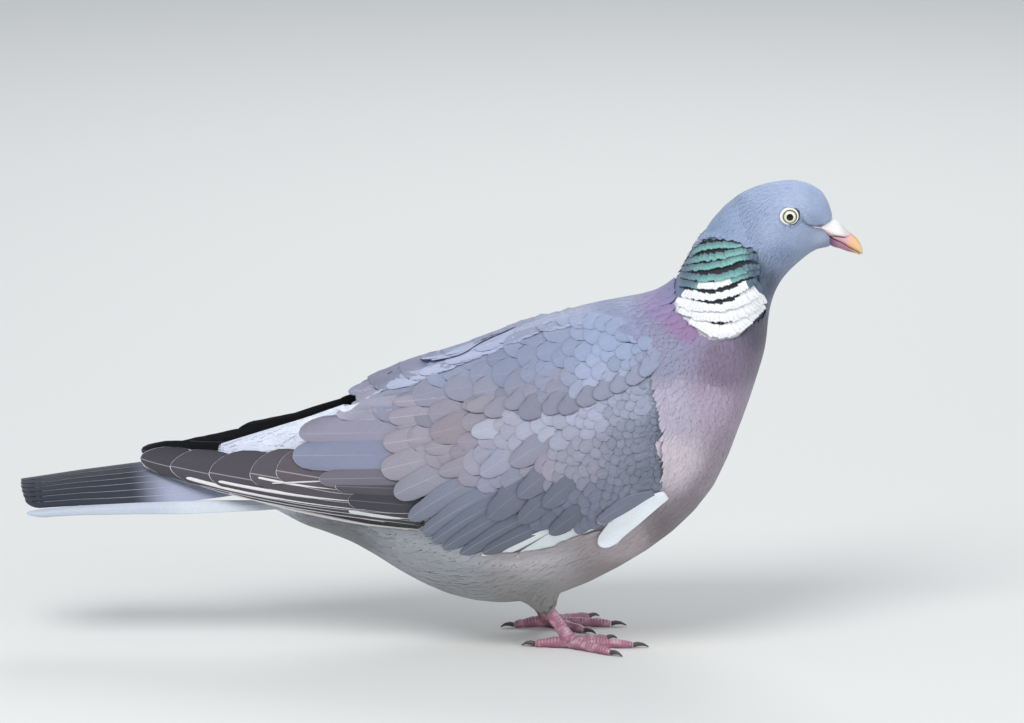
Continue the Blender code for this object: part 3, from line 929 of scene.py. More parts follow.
# Feathers laid one by one: root, tip, half width, colour, bend and pale edge if any.
BACK_EDGE = (
    ((44, 150.5), (16, 141.5), 3, (170, 178, 206)),
    ((34, 145.5), (2, 135), 2.8, (176, 184, 212), -0.01),
    ((36, 149.5), (4, 139), 2.6, (168, 176, 204)),
    ((20, 140.5), (-10, 129.5), 2.8, (180, 188, 215), -0.01),
    ((24, 145), (-6, 134), 2.6, (172, 180, 208)),
    ((6, 134.5), (-26, 123), 3, (178, 186, 213), -0.01),
    ((12, 139), (-20, 128), 2.6, (170, 177, 204)),
    ((-4, 130), (-44.5, 120), 3.4, (172, 176, 198), 0, 0.1),
)
SCAPULARS = (
    ((30, 116.5), (12.3, 112.6), 4.2, (152, 148, 160), 0.02),
    ((38, 117), (21, 109.8), 5, (146, 144, 158), 0.02),
    ((45, 119.5), (30.5, 113.4), 4.4, (144, 143, 158), 0.02),
    ((54, 118.5), (37.6, 108.8), 6, (134, 134, 150), 0.03),
    ((63, 120.5), (48.8, 110.6), 5, (138, 139, 156), 0.03),
    ((70, 120.5), (56.2, 110.6), 4.8, (134, 136, 152), 0.03),
    ((78, 123.5), (64.8, 114.6), 4.8, (140, 143, 161), 0.03),
    ((86, 127), (72.6, 117.6), 4.6, (144, 148, 168), 0.03),
    ((93, 130.5), (80.6, 120.8), 4.4, (146, 151, 171), 0.03),
    ((100, 134.5), (88.2, 124.4), 4.2, (148, 154, 175), 0.03),
    ((104, 140), (94.8, 128), 4, (150, 157, 180), 0.03),
)
GREATER_COVERTS = (
    ((2, 118), (-22.1, 115.4), 3.2, (158, 153, 167)),
    ((5, 111.5), (-24.5, 107.6), 4.8, (156, 150, 163)),
    ((6, 100.3), (-26.9, 95.4), 6.4, (157, 150, 162)),
    ((8.9, 90), (-27.9, 82.6), 7.6, (156, 151, 163), 0.02),
    ((17, 87), (-21.7, 70.6), 7, (150, 149, 163), 0.02),
    ((28.3, 83.3), (-15, 58.9), 5.6, (134, 139, 156), 0.03),
    ((35.5, 77.4), (-8.3, 52.1), 5, (128, 135, 153), 0.03),
    ((42.6, 74), (-4, 47.7), 4.5, (122, 129, 146), 0.03),
    ((49.8, 70.1), (1.2, 44.3), 4.2, (118, 125, 142), 0.03),
    ((56.9, 66.2), (9.3, 41.4), 4, (114, 121, 138), 0.03),
    ((62, 61), (20, 42), 3.8, (110, 117, 132), 0.02),
)
LARGE_COVERTS = (
    ((20.8, 105.6), (-4.6, 100), 7.8, (146, 138, 148), 0.02),
    ((15.1, 96.4), (-7, 92.8), 4.8, (152, 146, 158)),
    ((24.7, 88.6), (-0.6, 81.4), 5, (150, 146, 158)),
    ((36, 105.6), (14.8, 100.6), 5.2, (174, 176, 192), 0, 0.1),
    ((42, 95), (19, 80.4), 6, (156, 158, 177), 0.02),
    ((58.9, 100.6), (33.2, 85.6), 6.4, (144, 144, 160), 0.03),
    ((47.6, 79.8), (22.8, 59.6), 7.4, (116, 121, 137), 0.02),
    ((30.3, 118), (10.4, 113.2), 4.2, (148, 144, 157)),
    ((59.9, 87.7), (36.8, 69.9), 6.2, (120, 124, 140), 0.02),
    ((70.8, 82.8), (48.6, 65.1), 6, (112, 118, 133), 0.02),
    ((59, 74.8), (36.8, 57.6), 5.6, (112, 118, 133), 0.02),
    ((75.2, 68.2), (51.7, 51.8), 5, (106, 113, 128), 0.02),
)
TERTIALS = (
    ((-2, 117.6), (-43, 113.8), 3, (160, 157, 174), 0, 0.15),
    ((-6, 113.2), (-49.3, 109.9), 3.8, (158, 155, 171), 0, 0.15),
    ((-8, 101.5), (-67.4, 100), 4.8, (148, 145, 162), 0, 0.2),
    ((-2, 90.4), (-70.2, 89.8), 8.2, (132, 137, 160), 0, 0.12),
    ((-0.2, 79.4), (-57.5, 78.2), 5.4, (116, 112, 124), 0, 0.15),
    ((-0.2, 72.6), (-50, 74.6), 4.6, (84, 80, 90), 0, 0.3),
    ((-0.2, 63.6), (-44, 67.4), 5.2, (66, 64, 74), 0, 0.3),
)
PRIMARIES = (
    ((-19.3, 71.6), (-78.4, 82.6), 6.6, (92, 84, 91), 0, 0.3),
    ((-17.4, 66.9), (-90.9, 81.2), 7.6, (86, 80, 88), 0, 0.3),
    ((-15.5, 62.5), (-110.6, 81.6), 8.4, (76, 71, 80), 0, 0.35),
    ((-13.6, 58.9), (-129.4, 85), 8.2, (72, 68, 77), 0, 0.4),
    ((-11.7, 56.5), (-143.4, 88.6), 7.4, (64, 60, 68), -0.01, 0.45),
    ((-9.8, 53.6), (-142.2, 85), 3.8, (50, 46, 52), -0.01, 0.6),
    ((-7.9, 51.4), (-127, 81.5), 4.3, (42, 39, 44), -0.01, 0.6),
    ((-5, 49.3), (-106, 76), 3.4, (36, 34, 38), -0.01, 0.6),
)
# How much wider the upper web of the first primaries is, and how much more it is cut back at the tip.
BROAD_WEBS = ((2.3, 1.45), (2.4, 1.75), (2.1, 1.7), (1.72, 1.45), (1.45, 1.3))
FAR_QUILLS = (
    ((-20, 112), (-75, 97), 5.2, (26, 24, 29)),
    ((-25, 104), (-98, 95.5), 4.4, (26, 24, 29)),
    ((-30, 99), (-139, 86.5), 6.2, (24, 22, 27)),
)
QUILL_STRIPES = (
    ((-50, 77.4), (-80.2, 75.9), 0.45, (236, 232, 232)),
    ((-46, 72.4), (-86.9, 78.9), 0.75, (240, 236, 236), -0.02),
    ((-38, 66), (-106.1, 76.6), 0.95, (242, 238, 238), -0.02),
    ((-36, 61.4), (-121.7, 78.4), 1.05, (244, 240, 240), -0.025),
    ((-6, 56.6), (-44, 60.8), 1.3, (246, 246, 248), -0.02),
    ((-4, 50.6), (-101.2, 70.3), 0.45, (214, 208, 206), -0.03),
)
WHITE_EDGE = (
    ((52, 53.6), (19.7, 39.6), 4.6, (240, 246, 248), 0.03),
    ((80.8, 57.4), (36.4, 39.6), 3.6, (234, 242, 243), 0.04),
)
ALULA = (
    ((107, 70.6), (75, 46.4), 5.6, (240, 246, 251), 0.05),
    ((100.8, 71.6), (74.2, 58), 3.6, (122, 128, 146), 0.03, 0.3),
)
WING_NODES = ("wing_coverts", "wing_secondaries", "wing_primaries")


FAR_TERTIALS = 5  # how much lower the far wing's three upper tertials lie
# x, and how much higher the far wing's quills are folded than the near one's
FAR_FOLD = ((-142, 0.5), (-106, 5.5), (-66, 5.0), (-27, 1.0), (10, 0.0), (54, 0.0))


def read_off(table, x):
    """Values between the pairs of a table."""
    return np.interp(x, *np.array(table, float).T)


def beneath(spots, table):
    """True where a spot lies under the middle of one of a table's feathers."""
    covered = np.zeros(len(spots), bool)
    for root, tip, half, *_ in table:
        root, axis = np.array(root, float), np.array(tip, float) - np.array(root, float)
        length = np.linalg.norm(axis)
        axis /= length
        along = (spots - root) @ axis / length
        across = (spots - root) @ np.array((-axis[1], axis[0])) / half
        covered |= (along > 0.22) & (along < 1.02) & (np.abs(across) < 0.82)
    return covered


def row_of(table, level, step, rise, shaft, raised=False, **looks):
    """Feathers from a table, each a step above the one before it, or below it when the step is negative."""
    made = []
    for number, (root, tip, half, colour, *more) in enumerate(table):
        bend, pale = (*more, 0.0, 0.0)[:2]
        root, tip = np.array(root, float), np.array(tip, float)
        if raised:
            root[1] += read_off(FAR_FOLD, root[0])
            tip[1] += read_off(FAR_FOLD, tip[0])
        made.append({
            "root": root, "tip": tip, "half": half, "bend": bend,
            "level": level + step * number, "rise": rise,
            "tint": shade(*colour), "pale": pale, "shaft": shaft, "lot": RNG.random(), **looks,
        })
    return made


def scaled_coverts(raised):
    """Small feathers strewn over the wing, longer towards its rear, their tips over the next ones' roots."""
    table = np.array([row[:2] for row in WING], float)
    angles = np.radians([row[2] for row in WING])
    turns = np.stack([np.cos(angles), np.sin(angles)], axis=1)
    sizes = np.array([row[3] for row in WING], float)
    tints = np.array([shade(*row[4]) for row in WING])
    spots = np.stack([RNG.uniform(-50, 110, COVERT_TRIES), RNG.uniform(50, 160, COVERT_TRIES)], axis=1)

    share = weights(spots, table, 0.2)
    size = share @ sizes
    spacing = COVERT_SPACING * size * RNG.uniform(0.85, 1.25, len(size))
    outline = (*WING_OUTLINE, *(WING_TOP if raised else DRAPED_TOP))
    inside = within(outline, spots[:, 0], spots[:, 1], 0.1) > 0.5
    inside &= ~beneath(spots, (*LARGE_COVERTS, *SCAPULARS, *BACK_EDGE))
    inside &= (spots[:, 0] > -30) | (spots[:, 1] < 110)  # none past the rear end of the back's edge
    order = np.flatnonzero(inside)
    kept = order[thinned(np.concatenate([spots[order], np.zeros((len(order), 1))], axis=1), spacing[order])]
    lie = unit(share[kept] @ turns)
    made = []
    for number, way in zip(kept, lie, strict=True):
        length = size[number] * RNG.uniform(0.95, 1.2)
        front = float(ramp(spots[number, 0], 94, 101) * ramp(-spots[number, 1], -140, -128))
        turn = RNG.normal(0, 0.13)
        way = np.array((way[0] - way[1] * turn, way[1] + way[0] * turn))
        tip = spots[number] + way * length * 0.5
        root = spots[number] - way * length * 0.5
        made.append({
            "root": root, "tip": tip, "half": length * 0.37 * RNG.uniform(0.88, 1.14),
            "level": -0.95 - 0.6 * front + RNG.uniform(-0.05, 0.05), "rise": 0.52,
            "tilt": RNG.uniform(-0.05, 0.1), "tint": share[number] @ tints * RNG.normal(1, 0.04),
            "shaft": 0.06, "lot": RNG.random(), "rounding": RNG.uniform(0.26, 0.4),
        })
    return made


# ---------------------------------------------------------------- the neck's rows
NECK_ROWS = (
    ((119.1, 189.6), (124.5, 193.9), (129.3, 195), (136, 193.5)),
    ((117.2, 185.1), (124.2, 188.8), (132.9, 189.5), (141.6, 190.4)),
    ((115, 181.8), (124.2, 183.2), (134.4, 184.4), (142.4, 186.2), (147.1, 187.5)),
    ((113.2, 178.8), (124.2, 178.8), (134.4, 180.6), (143.1, 183.6), (151.9, 184.7)),
    ((112.1, 175.8), (124.2, 173.2), (135.8, 174.3), (144.6, 177.7), (152.2, 180.6)),
    ((112.4, 171.4), (127.1, 169.1), (135.8, 171.3), (146, 175.8), (152.6, 176.9)),
    ((112.1, 166.5), (120.5, 164.6), (130, 164.1), (138.7, 166.5), (146, 170.2), (151.1, 173.6)),
    ((110.7, 163.5), (116.9, 159.4), (125.6, 158.7), (134.4, 159), (141.6, 160.9),
     (148.9, 165), (153.3, 168.7)),
    ((112.5, 158.7), (119.8, 154.9), (130, 153.4), (137.3, 153.8), (144.6, 156.4),
     (151.1, 161.3), (154.8, 164.2)),
    ((116.9, 153.1), (122.4, 149.6), (127.3, 146.3), (135.8, 146), (142.4, 149.3),
     (148.9, 154.6), (154.8, 161.3)),
)


def festoon(points, pitch):
    """Places and downward directions, evenly apart, along a row of feather tips."""
    between = lambda at, known, line: np.stack([np.interp(at, known, part) for part in line.T], axis=1)
    points = np.array(points, float)
    run = np.concatenate([[0], np.cumsum(np.linalg.norm(np.diff(points, axis=0), axis=1))])
    fine = np.linspace(0, run[-1], 200)
    line = between(fine, run, points)
    for _ in range(60):
        line[1:-1] = (line[:-2] + line[2:]) / 2
    stops = np.arange(pitch * RNG.uniform(0.2, 0.8), run[-1], pitch)
    ahead = unit(between(stops, fine, np.gradient(line, axis=0)))
    return between(stops, fine, line), np.stack([ahead[:, 1], -ahead[:, 0]], axis=1)


# Where the near-black root of a row's feathers ends, and how much farther it goes in the row's middle; this
# root is painted shade in the gaps between the rows.
PARTINGS = ((0.1, 0), *[(0.58, 0)] * 4, (0.56, 0), (0.46, 0.12), (0.3, 0.22), (0.2, 0), (0.2, 0))
ROW_PITCH = 1.6
GREEN_ROWS = 7  # rows from this number on stand in the white patch
NAPE_LIE = np.array((-0.56, -0.83))
THROAT_EDGE = 150.3  # green rows stop here


def neck_feathers():
    """The neck's narrow feathers, row under row: grey at the top, then green, then white, with painted shade
    on their roots between the rows.
    """
    made = []
    for number, points in enumerate(NECK_ROWS):
        place, down = festoon(points, ROW_PITCH)
        for (x, s), way in zip(place, down, strict=True):
            in_green = number < GREEN_ROWS
            if x > THROAT_EDGE and in_green:
                continue
            here = np.array([x + 0.5]), np.array([s + 1.5])
            white = number > GREEN_ROWS or within(WHITE_PATCH, *here, 1.0)[0] > 0.5
            green = blend(tone(134, 194, 188), tone(106, 124, 144), ramp(-x, -126, -114))
            green = blend(green, tone(84, 100, 122), ramp(x, 141, 149))
            green = green * RNG.normal(1, 0.05) if number else tone(146, 163, 194)
            length = (8.6 if number else 5.2) * RNG.uniform(0.94, 1.05)
            length *= 1 - 0.45 * ramp(x, points[-1][0] - 6, points[-1][0]) * in_green
            way = blend(NAPE_LIE, way + np.array((-0.12, 0.0)), ramp(x, 112, 134)) + RNG.normal(0, 0.07, 2)
            way = unit(way)
            tip = np.array((x, s)) + way * RNG.uniform(-0.4, 0.45)
            parting, more = PARTINGS[number]
            made.append({
                "root": tip - way * length, "tip": tip, "half": 1.5, "level": -1.1,
                "rise": 1.5 - 0.7 * ramp(-x, -122, -112), "tilt": 0.08,
                # painted shade: the near-black root colour stands for the shade in the gaps between rows
                "tint": tone(252, 252, 253) if white else green, "root_tint": shade(24, 30, 40),
                "parting": parting + more * ramp(x, 119, 127) * ramp(-x, -148, -138),
                "lot": RNG.random(), "fade": 0.0 if white or not number else 0.75,
            })
    return made


def circle(count):
    return np.linspace(0, 2 * np.pi, count, endpoint=False)


def threaded(rows, count):
    """Rows of numbers resampled along a smooth line through them."""
    rows = np.array(rows, float)
    at = np.linspace(0, len(rows) - 1, count)
    i = np.clip(at.astype(int), 0, len(rows) - 2)
    t = (at - i)[:, None]
    before, after = np.maximum(i - 1, 0), np.minimum(i + 2, len(rows) - 1)
    p0, p1, p2, p3 = rows[before], rows[i], rows[i + 1], rows[after]
    return 0.5 * (2 * p1 + (p2 - p0) * t + (2 * p0 - 5 * p1 + 4 * p2 - p3) * t**2
                  + (3 * p1 - p0 - 3 * p2 + p3) * t**3)


def lofted(name, rings, closed=False):
    """A surface over rings of places: the ends are drawn to their middles, or when closed they meet."""
    rings = np.asarray(rings, float)
    count, size = rings.shape[:2]
    middles = () if closed else (rings[0].mean(axis=0)[None], rings[-1].mean(axis=0)[None])
    places = np.concatenate([rings.reshape(-1, 3), *middles])
    faces = []
    for i in range(count if closed else count - 1):
        for j in range(size):
            a, b = i * size + j, i * size + (j + 1) % size
            c, d = (k % (count * size) for k in (a + size, b + size))
            faces += [(a, c, d), (a, d, b)]
    for j in range(0 if closed else size):
        faces.append((j, (j + 1) % size, count * size))
        faces.append(((count - 1) * size + (j + 1) % size, (count - 1) * size + j, count * size + 1))
    mesh = mesh_of(name, places, np.array(faces))
    shape = bmesh_of(mesh)
    bmesh.ops.remove_doubles(shape, verts=shape.verts, dist=2e-6)
    bmesh.ops.recalc_face_normals(shape, faces=shape.faces)
    mesh_from(shape, mesh).shade_smooth()
    return placed(name, mesh)


# ---------------------------------------------------------------- the tail
# x, half width, ridge height, drop at the edge
TAIL = ((-204, 18, 77.2, 9), (-196.5, 21, 78.3, 13), (-188, 23.5, 79.6, 17.5), (-172, 24.5, 82.1, 21.5),
        (-145, 24, 85.7, 26), (-122, 23, 88.2, 29), (-80, 22, 92, 33))


class Roof:
    """The tail's upper face over its plan: a ridge with both halves falling away."""

    side = -1

    def at(self, x, y, height):
        stations, *columns = np.array(TAIL).T
        half, ridge, drop = (np.interp(x, stations, column) for column in columns)
        share = np.sqrt((y / half) ** 2 + 0.01) - 0.1
        z = ridge - drop * share**1.5
        fall = -np.sign(y) * drop * 1.5 * np.sqrt(share) / half * np.clip(np.abs(y) / 3, 0, 1)
        up = unit(np.stack([0.12 + 0 * x, -fall, 1 + 0 * x], axis=-1))
        return np.stack([x, y, z], axis=-1) + up * height[..., None]


def tail(material):
    """Feathers in pairs in a shallow roof, the middle ones on top, and a narrow pale pair outside."""
    made = []
    for number in range(6, -1, -1):
        for side in (1, -1):
            outer = number == 6
            root = np.array((-86.0 + 0.4 * number, side * (1.6 + 2.3 * number)))
            tip = np.array((-200.6 + 0.11 * number**2, side * (1.4 + 2.5 * number)))
            if outer:
                root[:], tip[1] = (-68.0, side * 18.6), side * 20.8
            made.append({
                "root": root, "tip": tip, "half": 1.9 if outer else 5.4,
                "level": -0.45 - 0.42 * number, "rise": 0.1, "tilt": -0.22 * side,
                "tint": shade(192, 199, 212) if outer else shade(30 + number, 35 + number, 51 + number),
                "root_tint": shade(212, 219, 228) if outer else shade(166, 173, 197),
                "parting": 0.46, "pale": 0.1, "shaft": 0.1, "lot": RNG.random(),
            })
    piece = laid("tail_feathers", Roof(), made, 40, 12, few=True, thick=0.45, dome=0.3, rounding=0.07)
    finished(piece, material, "tail_feathers", "tail")


# ---------------------------------------------------------------- bill and eyes
# x, culmen, nostril line, mouth line, keel, half width
BILL = (
    (177.5, 203.8, 201.8, 201.6, 196.8, 8.9), (180, 204.2, 201.2, 200.8, 195.8, 8.7),
    (182, 204.5, 200.2, 199.5, 194.6, 8.1), (184, 204.5, 198.7, 197.9, 192.8, 7.1),
    (187, 204.0, 196.9, 195.6, 190.9, 5.6), (189.6, 202.3, 196.3, 194.2, 190.2, 4.7),
    (191.8, 199.9, 195.9, 192.9, 189.4, 4.1), (194, 198.0, 195.2, 191.4, 188.6, 3.5),
    (196.6, 196.2, 193.6, 189.8, 187.9, 2.8), (198.6, 193.8, 191.8, 188.6, 187.3, 2.1),
    (199.9, 191.4, 190.0, 187.6, 186.8, 1.35), (200.5, 189.2, 188.6, 187.0, 186.8, 0.7),
)
CERE_END, LOWER_TIP = 194.6, 199.7  # x of the front of the cere and of the lower half's tip
GAPE = (178.6, 10.75, 202.3)  # the corner of the mouth
EYE = np.array((165.4, 9.1, 207.9))
EYE_RADIUS = 5.5
# Every 45 degrees, from the front of the eye up, back and round.
LID_WIDTHS = (0.65, 0.85, 1.3, 1.35, 1.45, 0.9, 0.2, 0.45, 0.65)


def bill_ring(x, top, low, half, flat_top=False):
    """A section of one half of the bill: rounded on top, or below when flat_top, and flat at the mouth."""
    t = circle(28)
    y = half * np.sign(np.cos(t)) * np.abs(np.cos(t)) ** 0.75
    rise = np.sin(t)
    round_part = np.abs(rise) ** 0.85
    if flat_top:
        z = np.where(rise < 0, top - (top - low) * round_part, top - 0.1 * round_part)
    else:
        z = np.where(rise > 0, low + (top - low) * round_part, low + 0.1 * round_part)
    return np.stack([np.full(len(t), x), y, z], axis=1)


def bill_and_eyes():
    """The soft cere, both halves of the bill, and the eyes in their rings of bare skin."""
    stations = threaded(BILL, 56)
    upper, lower, cere = [], [], []
    for x, culmen, _, mouth, keel, half in stations:
        upper.append(bill_ring(x, culmen - 0.25 * (x < 193), mouth + 0.14, half * (0.97 if x < 193 else 1.0)))
        if x < LOWER_TIP:
            lower.append(bill_ring(x - 0.35, mouth - 0.14, keel + 0.05, half * 0.86, flat_top=True))
    for x, culmen, nostril, _, _, half in stations[stations[:, 0] < CERE_END]:
        share = np.clip((CERE_END - x) / 3.4, 0, 1) ** 0.5
        low = nostril + 0.35
        ring = bill_ring(x, culmen + 0.12 * share, low + (culmen - low) * (1 - share) * 0.7,
                         half * (1.03 * share**0.4 + 0.001))
        swell = np.clip(1 - np.abs(ring[:, 2] - (low + 1.1)) / 2.4, 0, 1) * 0.35 * ramp(x, 184, 188) * share
        ring[:, 1] += np.sign(ring[:, 1]) * swell
        cere.append(ring)
    finished(lofted("upper_bill", upper), horn_finish("upper_horn"), "bill", "bill_upper")
    finished(lofted("lower_bill", lower), horn_finish("lower_horn", True), "bill", "bill_lower")
    finished(lofted("cere_skin", cere), cere_finish(), "cere", "cere")
    iris = iris_finish()
    rim = ring_finish("bare_eye_ring", shade(232, 230, 224), shade(252, 251, 248))
    gape = ring_finish("gape_skin", shade(226, 168, 186), shade(242, 208, 216))
    for side, suffix in SIDES:
        finished(gape_corner(f"gape_{suffix}", side), gape, "cere")
        finished(eyeball(f"eyeball_{suffix}", side), iris, "eye", f"eye_{suffix}")
        finished(orbital_ring(f"orbital_ring_{suffix}", side), rim, "cere")


def gape_corner(name, side):
    """The fleshy edge at the corner of the mouth."""
    rings = []
    x, y, z = GAPE
    for share in np.linspace(-1, 1, 15):
        thick = math.sqrt(max(1 - share * share, 0.0004))
        t = circle(16)
        out = side * (y - 0.55 * share + 0.5 * thick * np.cos(t))
        up = z - 0.35 * share + 0.27 * thick * np.sin(t)
        rings.append(np.stack([x + 2.3 * share + 0 * t, out, up], axis=1))
    return lofted(name, rings)


def eyeball(name, side):
    """A ball with a slightly flatter iris and a raised front, facing out to the side."""
    rings = []
    for polar in np.concatenate([np.linspace(0.02, 0.75, 18), np.linspace(0.85, 3.12, 14)]):
        r = EYE_RADIUS * math.sin(polar)
        y = EYE_RADIUS * math.cos(polar) + 0.28 * math.exp(-((r / 2.9) ** 4)) * (polar < 1)
        t = circle(48)
        out = side * (EYE[1] + y) + 0 * t
        rings.append(np.stack([EYE[0] + r * np.cos(t), out, EYE[2] + r * np.sin(t)], axis=1))
    return lofted(name, rings)


def orbital_ring(name, side):
    """The fleshy lids round the eye: broad behind and above, narrow in front and below, finely beaded."""
    rings = []
    for t in circle(96):
        width = float(np.interp(math.degrees(t), range(0, 361, 45), LID_WIDTHS))
        bead = 0.04 * math.sin(t * 34)
        profile = ((3.4, 3.4), (3.42, 4.3 + bead), (3.5, 4.72 + bead), (3.45 + 0.4 * width, 4.95 + bead),
                   (3.45 + 0.75 * width, 4.86), (3.5 + width, 4.5), (3.6 + width, 3.2))
        rings.append([(
            EYE[0] + r * math.cos(t),
            side * (EYE[1] + y - 0.12 * abs(math.cos(t))),
            EYE[2] + r * math.sin(t) * 0.96,
        ) for r, y in profile])
    return lofted(name, rings, closed=True)


def iris_finish():
    """Black pupil, pale yellow iris with fine spokes, and a dark olive edge."""
    finish = Finish("iris", Roughness=0.2, Specular_IOR_Level=0.25, Coat_Weight=0.35, Coat_Roughness=0.04)
    x, _, z = finish.split(finish.place())
    dx, dz = (x - EYE[0] * MM) * PER_METRE, (z - EYE[2] * MM) * PER_METRE
    r = (dx * dx + dz * dz) ** 0.5
    spokes = finish.noise(finish.join(dx / (r + 0.01) * 6.0, dz / (r + 0.01) * 6.0, r * 0.6), 1.0, 3.0, 0.6)
    colour = finish.mix(r.step(1.6, 2.6), shade(243, 240, 216), shade(232, 230, 204))
    colour = finish.mix(spokes * 0.16, colour, shade(176, 172, 118))
    colour = finish.mix(r.step(2.62, 2.95), colour, shade(92, 98, 74))
    colour = finish.mix(1 - r.step(1.6, 1.74), colour, (0.002, 0.002, 0.002))
    finish.set(Base_Color=colour)
    return finish.material


def ring_finish(name, first, second):
    """Finely grained bare skin between two tints."""
    finish = Finish(name, Roughness=0.45, Specular_IOR_Level=0.4)
    grain = finish.noise(finish.place(), 2600.0, 2.0)
    return finish.done(finish.mix(grain, first, second), grain, 0.06)


def horn_finish(name, lower=False):
    """The horny bill: rosy at the base, then orange, then a cream tip."""
    finish = Finish(name, Roughness=0.34, Specular_IOR_Level=0.45, Coat_Weight=0.15, Coat_Roughness=0.25)
    x, y, z = finish.split(finish.place())
    x, z = x * PER_METRE, z * PER_METRE
    grain = finish.noise(finish.join(x * 0.25, y * 900.0, z * 1.2), 1.0, 3.0)
    if lower:
        colour = finish.mix((x + grain * 1.5).step(185.5, 190.5), shade(96, 74, 104), shade(178, 124, 150))
        colour = finish.mix((x + grain * 1.5).step(194.5, 199.0), colour, shade(230, 178, 130))
    else:
        colour = finish.mix((x + grain * 1.4 - (z - 192.0) * 0.35).step(191.5, 196.0), shade(240, 184, 198),
                            shade(250, 196, 138))
        colour = finish.mix((x + grain).step(196.5, 200.5), colour, shade(240, 214, 156))
        # the nostril slit: its reddish edge, with painted shade for the opening
        slit = abs(z - (196.95 - (x - 187.0) * 0.2) + grain * 0.1)
        slit = (1 - slit.step(0.1, 0.4)) * x.step(184.6, 185.6) * (1 - x.step(191.6, 193.2))
        colour = finish.mix(slit * 0.85, colour, shade(96, 36, 50))
    return finish.done(finish.mix(grain * 0.25, colour, shade(120, 80, 84)), grain, 0.08)


def cere_finish():
    """Chalky white skin over the nostrils, with the dark pink line of each slit: the nostril's reddish edge
    and painted shade in its opening.
    """
    finish = Finish("cere_powder", Roughness=0.7, Specular_IOR_Level=0.3)
    x, _, z = finish.split(finish.place())
    x, z = x * PER_METRE, z * PER_METRE
    grain = finish.noise(finish.place(), 1500.0, 4.0, 0.6)
    colour = finish.mix(grain, shade(236, 228, 226), shade(252, 250, 246))
    # the nostril slit: its reddish edge, with painted shade for the opening
    slit = 1 - (z - 197.3 + (x - 187.0) * 0.22).step(-0.1, 0.75)
    slit = slit * x.step(184.4, 186.0) * (1 - x.step(191.5, 193.2))
    colour = finish.mix(slit * 0.85, colour, shade(122, 50, 70))
    colour = finish.mix((x + grain).step(188.5, 194.0) * 0.5, colour, shade(196, 180, 182))
    return finish.done(colour, grain, 0.15, 0.6)


# ---------------------------------------------------------------- legs
FOOT = {"r": (61.0, -21.5), "l": (51.0, 21.5)}  # where each shank meets its toes
PLATE_PITCH, PAD_PITCH = 1.55, 4.2


def joints(suffix, nodes):
    """Balls that carry the shank up into the thigh and join it to the toes."""
    x, y = FOOT[suffix]
    shank = threaded(((x, y, 4.4), (x - 2.6, y, 8.6), (x - 8.0, y, 16.4), (x - 13.0, y, 24.0)), 22)
    balls = [(*place, radius) for place, radius in zip(shank, np.linspace(3.3, 2.8, 22), strict=True)]
    for node in nodes:
        if "toe" in node:
            ends, _, _ = grid_of(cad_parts[node].data)
            heading = unit(ends.mean(axis=0)[:2] - np.array((x, y)))
            balls += [(x + heading[0] * run, y + heading[1] * run, 2.75, 2.6) for run in np.linspace(0, 7, 8)]
    return np.array(balls, float).tolist()


def scuted(name, nodes):
    """A foot with plates across its toes and shank, and soft pads below."""
    suffix = name[-1]
    mesh = mesh_from(soft_hide(name, nodes, FOOT_VOXEL, 5, balls=joints(suffix, nodes)), name)
    places, normals, _ = grid_of(mesh)
    hub = np.array((*FOOT[suffix], 4.0))
    best = np.full(len(places), 1e9)
    run, front = np.zeros(len(places)), np.zeros(len(places))
    for node in nodes:
        ends, _, _ = grid_of(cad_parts[node].data)
        far = ends[np.linalg.norm(ends - hub, axis=1).argmax()]
        far = np.array((far[0], far[1], 3.2)) if "toe" in node else np.array(ends[ends[:, 2].argmax()])
        leg = far - hub
        share = np.clip(((places - hub) * leg).sum(axis=1) / (leg**2).sum(), 0, 1)
        gap = np.linalg.norm(places - hub - share[:, None] * leg, axis=1)
        nearer = gap < best
        best = np.where(nearer, gap, best)
        run = np.where(nearer, share * np.linalg.norm(leg), run)
        facing = normals[:, 2] if "toe" in node else normals[:, 0]
        front = np.where(nearer, facing, front)
    plates = np.abs(np.sin(np.pi * run / PLATE_PITCH)) ** 0.35 - 0.8
    pads = np.abs(np.sin(np.pi * run / PAD_PITCH)) ** 0.6 - 0.7
    grain = np.sin(places @ np.array((5.1, 3.3, 1.7))) * np.sin(places @ np.array((-2.9, 4.7, 3.9)))
    above, below = 0.2 * plates * ramp(front, 0.0, 0.5), 0.28 * pads * ramp(-front, 0.1, 0.6)
    move = np.where(front > 0, above, below) + 0.03 * grain
    move *= ramp(places[:, 2], 0.15, 1.0)
    places = places + normals * move[:, None]
    places[:, 2] = np.maximum(places[:, 2], 0.02)
    move_to(mesh, places)
    mesh.update()
    store(mesh, "groove", ramp(-plates, 0.0, 0.5) * ramp(front, -0.1, 0.4))
    mesh.shade_smooth()
    return placed(name, mesh)


def legs():
    """Feet with their plates, and claws."""
    scales, horn = leg_finish(), claw_finish()
    toes = ("inner", "middle", "outer", "hind")
    for suffix in "rl":
        nodes = [f"tarsus_{suffix}", *(f"toe_{toe}_{suffix}" for toe in toes)]
        finished(scuted(f"foot_{suffix}", nodes), scales, "leg_skin", *nodes)
        nodes = [f"claw_{toe}_{suffix}" for toe in toes]
        mesh = mesh_from(soft_hide("claws", nodes, CLAW_VOXEL, 3, every=True), f"claws_{suffix}")
        mesh.shade_smooth()
        finished(placed(f"claws_{suffix}", mesh), horn, "claw", *nodes)


def leg_finish():
    """Purple-pink scales with pale chalky seams."""
    finish = Finish("scaled_leg", Roughness=0.5, Specular_IOR_Level=0.4)
    grain = finish.noise(finish.place(), 1100.0, 4.0, 0.6)
    patches = finish.noise(finish.place(), 240.0, 2.0)
    colour = finish.mix(grain, shade(138, 84, 106), shade(180, 126, 144))
    colour = finish.mix(patches.step(0.45, 0.7) * 0.6, colour, shade(214, 178, 190))
    colour = finish.mix(finish.amount("groove") * 0.7, colour, shade(224, 206, 210))
    return finish.done(colour, grain, 0.12)


